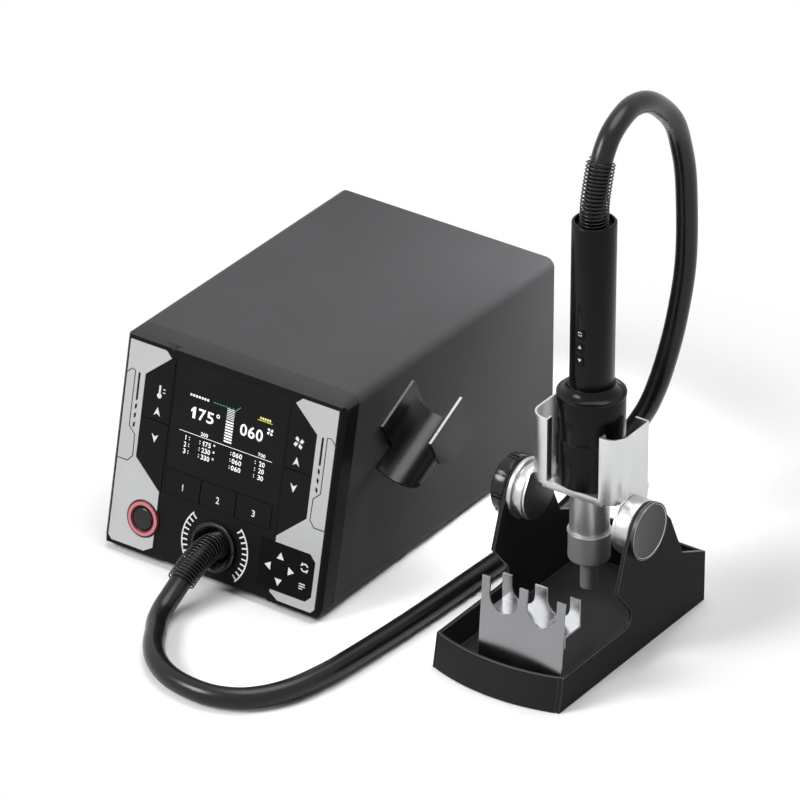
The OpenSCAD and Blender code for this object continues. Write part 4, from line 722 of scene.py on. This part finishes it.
# %% Numbers
ONE = [(-0.12, -0.5), (0.22, -0.5), (0.22, 0.5), (-0.02, 0.5), (-0.32, 0.22), (-0.32, 0.0),
       (-0.12, 0.12)]
DIGIT_FILL = 0.86  # the part of its cell that a digit fills
BOLDER, BODY, CURVE_STEPS = 0.015, 0.02, 3


def add_number(mesh, words, x, s, width, height, low, high):
    """Digits in a row whose middle is at x, s, each fitted to its own even cell."""
    if len(words) > 1:
        for i, digit in enumerate(words):
            cell = x + width * ((i + 0.5) / len(words) - 0.5)
            add_number(mesh, digit, cell, s, width / len(words), height, low, high)
        return
    if words == "1":
        add_outline(mesh, [(x + p * width, s + q * height) for p, q in ONE], low, high)
        return
    width *= DIGIT_FILL
    font = bpy.data.curves.new("number", "FONT")
    font.body, font.extrude, font.offset, font.resolution_u = words, BODY, BOLDER, CURVE_STEPS
    text = bpy.data.objects.new("number", font)
    scene.collection.objects.link(text)
    data = evaluated(text)
    bpy.data.objects.remove(text)
    places = [v.co for v in data.vertices]
    lo, hi = ([pick(p[k] for p in places) for k in range(3)] for pick in (min, max))
    sizes = (width, height, high - low)
    corner = (x - width / 2, s - height / 2, low)
    for v in data.vertices:
        v.co = [(corner[k] + (v.co[k] - lo[k]) / (hi[k] - lo[k]) * sizes[k]) / 1000
                for k in range(3)]
    mesh.from_mesh(data)
    bpy.data.meshes.remove(data)


print("the outline of a one has", len(ONE), "corners")

# %% [markdown]
# The signs are built from a few plain shapes: a bar, a disc, an arc, an arrow. One that
# is used more than once is drawn about its middle, then scaled, turned and moved.

# %% Shapes for signs
def placed(shape, x, s, size, turn=0.0):
    """A shape drawn about its middle, scaled in mm, turned in degrees and moved."""
    c, d = math.cos(math.radians(turn)), math.sin(math.radians(turn))
    return [(x + size * (c * p - d * q), s + size * (d * p + c * q)) for p, q in shape]


def arc(x, s, inner, outer, start, end, steps=12):
    turns = [math.radians(start + (end - start) * k / steps) for k in range(steps + 1)]
    return ([(x + outer * math.cos(a), s + outer * math.sin(a)) for a in turns]
            + [(x + inner * math.cos(a), s + inner * math.sin(a)) for a in reversed(turns)])


def ring(x, s, inner, outer):
    """Nearly closed: a hair's gap lets one outline go out and back."""
    return arc(x, s, inner, outer, 1, 359, 24)


def disc(x, s, r, sides=28):
    turns = [math.pi * k / (sides / 2) for k in range(sides)]
    return [(x + r * math.cos(a), s + r * math.sin(a)) for a in turns]


def bar(x0, s0, x1, s1):
    return [(x0, s0), (x1, s0), (x1, s1), (x0, s1)]


ARROW = [(0, 1), (-0.85, -0.95), (0, -0.4), (0.85, -0.95)]
TRIANGLE = [(0, 0.9), (-1, -0.8), (1, -0.8)]
SWEEP = arc(0, 0, 0.66, 1.0, 20, 130, 12)
TIP = [(-1.05, 0.12), (-0.2, 0.62), (-0.75, 1.1)]
QUARTERS = (0, 90, 180, 270)
print("the sweep has", len(SWEEP), "corners")

# %% [markdown]
# Marks that repeat, such as the slats of the level bar and the ticks of the two scales,
# come from one tree. It takes one mark and sets out copies of it: each copy moves on by
# a step, or turns on about the middle by an angle. An array modifier could do the steps
# too, but the turns would need an extra empty object.

# %% The tree of repeated marks
marks = tree("marks_in_a_row", [
    ("Count", "Int", 10), ("Start", "Vector", None), ("Step", "Vector", None),
    ("First", "Float", 0.0), ("Turn", "Float", 0.0), ("Material", "Material", None)])
given = marks.nodes.new("NodeGroupInput").outputs
row = node(marks, "GeometryNodeMeshLine", {
    "Count": given["Count"], "Start Location": given["Start"], "Offset": given["Step"]})
turned = math_node(marks, "MULTIPLY", node(marks, "GeometryNodeInputIndex"), given["Turn"])
angle = math_node(marks, "ADD", turned, given["First"])
turning = node(marks, "FunctionNodeAxisAngleToRotation", {"Axis": (0, 0, 1), "Angle": angle})
copies = node(marks, "GeometryNodeInstanceOnPoints", {
    "Points": row, "Instance": given["Geometry"], "Rotation": turning})
ended(marks, copies, given["Material"])


def repeated(name, material, outline, count, start, step=(0, 0), first=0.0, turn=0.0,
             low=0.0, high=0.06):
    """Copies of one mark on the station's panel: mm and degrees."""
    mesh = bmesh.new()
    add_outline(mesh, outline, low, high)
    shaped = grown(name, meshed(name, mesh), marks, {
        "Count": count, "Start": (start[0] / 1000, start[1] / 1000, 0),
        "Step": (step[0] / 1000, step[1] / 1000, 0),
        "First": math.radians(first), "Turn": math.radians(turn), "Material": material})
    shaped.transform(PANEL)
    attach(link(name, shaped), "station")
    print(name, "has", count, "marks")


# %% [markdown]
# The display is lit: its figures shine through the dark window. A weak glow on top of
# a pale colour gives that, without lighting what is near. Two large numbers stand over
# a line, with a table of three rows below it. Plain bars and digits stand for its words.

# %% The display's numbers
lit_white = finish("lit_white", (0.86, 0.88, 0.90), 0.4, grain=(900, 0.0), mottle=(400, 0.05),
                   glow=0.55)
ROWS = (("175", "060", "20"), ("230", "060", "20"), ("330", "060", "30"))
ROW_TOP, ROW_STEP, ROW_HIGH = 98.5, 5.1, 3.7
# Each figure: digits, x and s of its middle, width, height
figures = [("175", 71.6, 118.6, 21.5, 8.6), ("060", 114.7, 118.8, 20.6, 8.8),
           ("200", 75.6, 105.0, 6.4, 2.7), ("700", 125.6, 105.0, 6.6, 2.7)]
white = []
for i, (heat, air, time) in enumerate(ROWS):
    s = ROW_TOP - ROW_STEP * i
    figures += [(str(i + 1), 60.2, s, 1.6 if i == 0 else 2.4, ROW_HIGH),
                (heat, 78.4, s, 7.8, ROW_HIGH), (air, 105.2, s, 8.6, ROW_HIGH),
                (time, 126.6, s, 5.2, ROW_HIGH)]
    for x in (63.4, 72.6, 99.6, 120.9):  # the two dots after each heading
        white += [bar(x - 0.35, s - 1.2, x + 0.35, s - 0.5),
                  bar(x - 0.35, s + 0.5, x + 0.35, s + 1.2)]
    white.append(ring(85.0, s + 1.2, 0.35, 0.8))  # the degree sign
white += [bar(54.0, 102.5, 134.8, 102.85), ring(85.3, 121.8, 0.75, 1.5)]
FAN_ON_DISPLAY = [(0.15, 0.1), (1.0, 0.15), (1.05, 0.75), (0.55, 1.05)]
white += [placed(FAN_ON_DISPLAY, 130.2, 124.0, 2.3, turn) for turn in QUARTERS]
ink("display_figures", "station", "window_glass", lit_white, white, figures)

# %% [markdown]
# Over the numbers the real display has small lit marks: a yellow tag, and a green tick
# at the end of a row of dashes. A bar of slats between the numbers shows the level. The
# rows come from the tree of repeated marks, and the rest are single outlines.

# %% The display's marks
lit_green = finish("lit_green", (0.03, 0.24, 0.13), 0.4, grain=(900, 0.0), mottle=(400, 0.1),
                   glow=0.4)
lit_yellow = finish("lit_yellow", (0.80, 0.74, 0.20), 0.4, grain=(900, 0.0), mottle=(400, 0.1),
                    glow=0.4)
TICK = [(96.8, 131.4), (97.3, 131.9), (99.0, 130.2), (103.0, 134.4), (103.5, 133.9), (99.0, 129.2)]
tag = [bar(118.6, 129.9, 131.4, 130.3)]
tag += [bar(120.4 + 2.0 * i, 131.0, 121.8 + 2.0 * i, 132.7) for i in range(5)]
ink("display_setting_tag", "station", "window_glass", lit_yellow, tag)
ink("display_tick", "station", "window_glass", lit_green, [TICK])
# Each row: its name and finish, half of a mark's width and height, count, start and step
for name, material, wide, high, count, start, step in (
        ("display_level_slats", lit_white, 3.3, 0.6, 8, (95.6, 105.9), (0, 2.1)),
        ("display_level_upper", lit_white, 3.2, 0.22, 7, (95.6, 122.6), (0, 1.25)),
        ("display_status_marks", lit_white, 0.8, 0.8, 7, (60.6, 131.0), (2.45, 0.0)),
        ("display_status_green", lit_green, 0.9, 0.35, 6, (81.0, 131.0), (2.6, 0.0))):
    repeated(name, material, bar(-wide, -high, wide, high), count, start, step)

# %% [markdown]
# Round the power button a ring of pink light glows in the dark red one. It is drawn as
# four quarter arcs, because one closed ring would need a hole in its face. Above the
# display's left corner the moulding has a small notch in shade, and that shade is painted
# as a dark triangle of black ink.

# %% The lit ring and the notch
ring_lit = finish("ring_lit", (0.62, 0.22, 0.25), 0.35, specular=0.3, grain=(900, 0.03),
                  mottle=(90, 0.06), glow=0.12)
black_ink_and_shade = finish("black_ink_and_shade", (0.006, 0.006, 0.006), 0.5, grain=(2000, 0.05))
BUTTON = (32.6, 28.0)
ink("power_ring_light", "station", "ring_red", ring_lit,
    [arc(*BUTTON, 10.2, 12.6, start, start + 90, 16) for start in QUARTERS], low=1.5, high=1.76)
# The notch's shade, painted as a dark triangle of black ink.
NOTCH_SHADE = [(35.7, 162.8), (41.1, 157.6), (44.8, 163.4)]
ink("panel_notch_shade", "station", "panel_plastic", black_ink_and_shade, [NOTCH_SHADE])

# %% [markdown]
# The keys carry white signs: arrows for up and down, a thermometer over the left pair,
# a fan over the right pair, and the numbers 1 to 3. A key's sign has to move with its
# key, so it rides on that key's body and not on the station.

# %% Signs on the keys
# Ink gives no light, but this white has a weak glow: painted light that brightens the signs.
glowing_white_ink = finish("glowing_white_ink", (0.80, 0.80, 0.80), 0.5, grain=(2500, 0.05), mottle=(300, 0.03),
                   glow=0.15)
ON_KEY = dict(low=0.3, high=0.36)
THERMOMETER = [disc(33.8, 121.8, 2.0), bar(33.0, 123.0, 34.6, 129.6),
               bar(36.4, 124.6, 38.8, 125.2), bar(36.4, 127.0, 38.8, 127.6)]
FAN_BLADE = [(0.1, 0.15), (0.75, 0.0), (1.1, 0.55), (0.55, 0.85)]
ink("temperature_sign", "temp_up_push", "key_plastic", glowing_white_ink, THERMOMETER, **ON_KEY)
for key, x, s, turn in (("temp_up", 33.6, 109.8, 0), ("temp_down", 34.0, 89.7, 180),
                        ("air_up", 155.1, 109.7, 0), ("air_down", 155.3, 89.9, 180)):
    ink(key + "_sign", key + "_push", "key_plastic", glowing_white_ink,
        [placed(ARROW, x, s, 3.4, turn)], **ON_KEY)
ink("air_sign", "air_up_push", "key_plastic", glowing_white_ink,
    [placed(FAN_BLADE, 155.2, 123.8, 4.0, turn) for turn in QUARTERS], **ON_KEY)
for i, x in enumerate((62.8, 93.5, 124.7)):
    ink("channel_sign_%d" % (i + 1), "channel_push_%d" % (i + 1), "key_plastic", glowing_white_ink,
        numbers=[(str(i + 1), x, 61.0, 1.9 if i == 0 else 3.3, 5.2)], **ON_KEY)

# %% [markdown]
# At the lower right a flat film covers six switches, with four arrows, a turning sign
# and three lines. Separate keys could be made for them, but the real film only flexes
# under a finger, so it is one piece, and its signs ride on the station.

# %% Signs on the keypad
keypad = [placed(TRIANGLE, 152.0, 37.5, 3.1), placed(TRIANGLE, 142.0, 27.9, 3.1, 90),
          placed(TRIANGLE, 162.1, 28.6, 3.1, -90), placed(TRIANGLE, 152.3, 17.9, 3.1, 180)]
keypad += [placed(shape, 172.9, 35.3, 3.3, turn) for shape in (SWEEP, TIP) for turn in (0, 180)]
keypad += [bar(170.0, 22.4, 175.2, 23.2), bar(170.0, 20.6, 175.2, 21.4),
           bar(170.0, 18.8, 173.2, 19.6)]
ink("keypad_signs", "station", "keypad_film", glowing_white_ink, keypad, low=0.4, high=0.46)

# %% [markdown]
# Two curved scales flank the air outlet: a thin arc with ten ticks on each side. One
# mark that turns about the outlet's middle keeps the ticks even, so they come from the
# tree, and only the arcs are outlines.

# %% The scales round the outlet
TICK_MARK, TICK_TURN = bar(23.8, -0.6, 28.2, 0.6), 9.2
ink("outlet_scale_lines", "station", "panel_plastic", glowing_white_ink,
    [arc(*OUTLET, 28.0, 29.1, 136, 225, 30), arc(*OUTLET, 28.0, 29.1, -45, 44, 30)])
for name, first in (("outlet_scale_left", 139), ("outlet_scale_right", -41)):
    repeated(name, glowing_white_ink, TICK_MARK, 10, OUTLET, first=first, turn=TICK_TURN)

# %% [markdown]
# A thin black line is cut into each silver plate. The groove is in the CAD model, and
# the ink lies on its floor. A line becomes a band of even width when each of its points
# is moved out to both sides, a little further at a corner. The right one mirrors
# the left one.

# %% Lines on the trim plates
def stroke(points, width):
    """A band of even width along a line of points."""
    sides = [[], []]
    for i, (x, s) in enumerate(points):
        here = Vector((x, s))
        before = Vector(points[max(i - 1, 0)])
        after = Vector(points[min(i + 1, len(points) - 1)])
        ways = [w.normalized() for w in (here - before, after - here) if w.length > 0]
        mean = sum(ways, Vector((0, 0))).normalized()
        out = Vector((-mean.y, mean.x)) * width / 2 / max(0.3, mean.dot(ways[0]))
        sides[0].append((x + out.x, s + out.y))
        sides[1].append((x - out.x, s - out.y))
    return sides[0] + sides[1][::-1]


PANEL_WIDE, LINE_WIDE = 190, 0.78
TRIM_LINE = [(3.2, 130.2), (8.5, 134.9), (11.5, 134.1), (11.5, 92.7), (17.0, 87.5), (17.4, 71.5),
             (13.5, 66.8), (3.2, 66.8)]
mirrored = [(PANEL_WIDE - x, s) for x, s in TRIM_LINE]
for name, points in (("left_trim_line", TRIM_LINE), ("right_trim_line", mirrored)):
    ink(name, "station", "trim_silver", black_ink_and_shade, [stroke(points, LINE_WIDE)], low=0.38, high=0.62)

# %% [markdown]
# The handle's three keys have signs as well. They stand upright on the handle's front,
# so they are drawn in a frame of their own, which starts at the key's front face and
# looks towards the reader. The signs reach a little into the key, whose face is curved.

# %% Signs on the handle's keys
UPRIGHT = Matrix(((1, 0, 0), (0, 0, -1), (0, 1, 0))).to_4x4()
handle_signs = ([placed(TRIANGLE, 0, 0.2, 1.5, 180)], [placed(TRIANGLE, 0, 0.2, 1.5, 0)],
                [placed(shape, 0, 0, 1.6, turn) for shape in (SWEEP, TIP) for turn in (0, 180)])
for i, sign in enumerate(handle_signs):
    low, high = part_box("handle_key_%d" % (i + 1))
    middle = Vector((handle_end.x, low[1], (low[2] + high[2]) / 2))
    ink("handle_sign_%d" % (i + 1), "handle_push_%d" % (i + 1), "key_plastic", glowing_white_ink, sign,
        low=-0.25, high=0.06, frame_of=Matrix.Translation(middle) @ UPRIGHT)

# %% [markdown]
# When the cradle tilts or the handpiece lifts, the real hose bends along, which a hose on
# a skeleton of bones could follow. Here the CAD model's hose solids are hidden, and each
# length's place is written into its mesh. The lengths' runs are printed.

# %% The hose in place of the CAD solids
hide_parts("hose_bench", "hose_rise")
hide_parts("hose_top")
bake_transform(air_hose)
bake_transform(air_hose_top)
for length, points, run, coil_on_it in ((air_hose, bench_points, bench_run, outlet_coil),
                                        (air_hose_top, top_points, top_run, handle_coil)):
    print(length.name, "is declared as", round(run, 3), "m of hose")

# %% [markdown]
# The floor is a plain pale sheet. It shows the object's shadow, and further out it fades
# into pure white, so that no horizon shows. It also throws less light back up at the
# object than the camera sees on it, because a white floor would wash out the dark paint.
# The Light Path node tells which kind of ray asks.

# %% The floor
FLOOR_HALF = 6
SEEN_FLOOR, SHED_FLOOR = (0.98, 0.98, 0.98, 1), (0.16, 0.16, 0.16, 1)
FADE_FROM, FADE_TO = 0.24, 0.44  # metres from the middle


def seen_rays(group, ray):
    """1 for what the camera sees itself, in a mirror or through glass, else 0."""
    seen = math_node(group, "MAXIMUM", ray["Is Camera Ray"], ray["Is Glossy Ray"])
    return math_node(group, "MAXIMUM", seen, ray["Is Transmission Ray"])


floor_data = bpy.data.meshes.new("floor")
corners = [(x * FLOOR_HALF, y * FLOOR_HALF, 0) for x, y in ((-1, -1), (1, -1), (1, 1), (-1, 1))]
floor_data.from_pydata(corners, [], [(0, 1, 2, 3)])
floor_white = finish("floor_white", (0.90, 0.90, 0.90), 0.7, specular=0.1, grain=(10, 0.0),
                     mottle=(3, 0.0))
sheet = floor_white.node_tree
shader = sheet.nodes["Principled BSDF"]
ray = sheet.nodes.new("ShaderNodeLightPath").outputs
dim = node(sheet, "ShaderNodeMix", {
    "Factor": ray["Is Diffuse Ray"], "A": SEEN_FLOOR, "B": SHED_FLOOR},
    out="Result", data_type="RGBA")
feed(sheet, shader, {"Base Color": dim})
place = node(sheet, "ShaderNodeTexCoord", out="Object")
reach = node(sheet, "ShaderNodeVectorMath", {0: place}, out="Value", operation="LENGTH")
far = node(sheet, "ShaderNodeMapRange", {
    "Value": reach, "From Min": FADE_FROM, "From Max": FADE_TO})
paper = node(sheet, "ShaderNodeEmission", {"Color": (1, 1, 1, 1), "Strength": 1.0})
fading = node(sheet, "ShaderNodeMixShader", {
    0: math_node(sheet, "MULTIPLY", far, seen_rays(sheet, ray)),
    1: shader.outputs[0], 2: paper})
feed(sheet, sheet.nodes["Material Output"], {"Surface": fading})
link("floor", floor_data, floor_white)
print("the floor fades from", FADE_FROM, "to", FADE_TO, "m")

# %% [markdown]
# The world is a soft white room. What the camera and the shiny surfaces see of it is
# pure white, but the light that it sheds is weak, so the dark paint keeps its depth.

# %% The room
ROOM_LIGHT = 0.16
world = bpy.data.worlds.new("room")
scene.world = world
world.use_nodes = True
room = world.node_tree
seen = seen_rays(room, room.nodes.new("ShaderNodeLightPath").outputs)
strength = math_node(room, "ADD", math_node(room, "MULTIPLY", seen, 1 - ROOM_LIGHT), ROOM_LIGHT)
feed(room, room.nodes["Background"], {"Color": (1, 1, 1, 1), "Strength": strength})
print("the room sheds", ROOM_LIGHT, "of what is seen of it")

# %% [markdown]
# Two large soft lamps light the station: the key from the front left, and one from
# above. A third, small and weak, stands close behind at the right and grazes the cover's
# side, whose far end is the lighter one in the photograph. A lighter paint there would
# do so in one view only. The lamp is hidden from reflections, where it would be a spot.

# %% Three lamps
def lamp(name, place, target, size, power, spread=180):
    data = bpy.data.lights.new(name, "AREA")
    data.shape, data.size, data.energy, data.spread = "DISK", size, power, math.radians(spread)
    thing = bpy.data.objects.new(name, data)
    thing.location = place
    thing.rotation_mode = "QUATERNION"
    thing.rotation_quaternion = (Vector(target) - Vector(place)).to_track_quat("-Z", "Y")
    scene.collection.objects.link(thing)
    print(name, "gives", power, "W")
    return thing


STATION_MIDDLE = (0, 0, 0.1)
lamp("key_lamp", (-1.2, -1.9, 1.7), STATION_MIDDLE, 1.2, 55)
lamp("top_lamp", (0.2, 0.3, 2.6), STATION_MIDDLE, 2.0, 43)
rim_lamp = lamp("rim_lamp", (0.10, 0.37, 0.26), (0.0, 0.15, 0.12), 0.15, 0.5, spread=70)
rim_lamp.visible_camera = rim_lamp.visible_glossy = False

# %% [markdown]
# The Standard view shows the colours as they are written.

# %% The view
scene.view_settings.view_transform = "Standard"
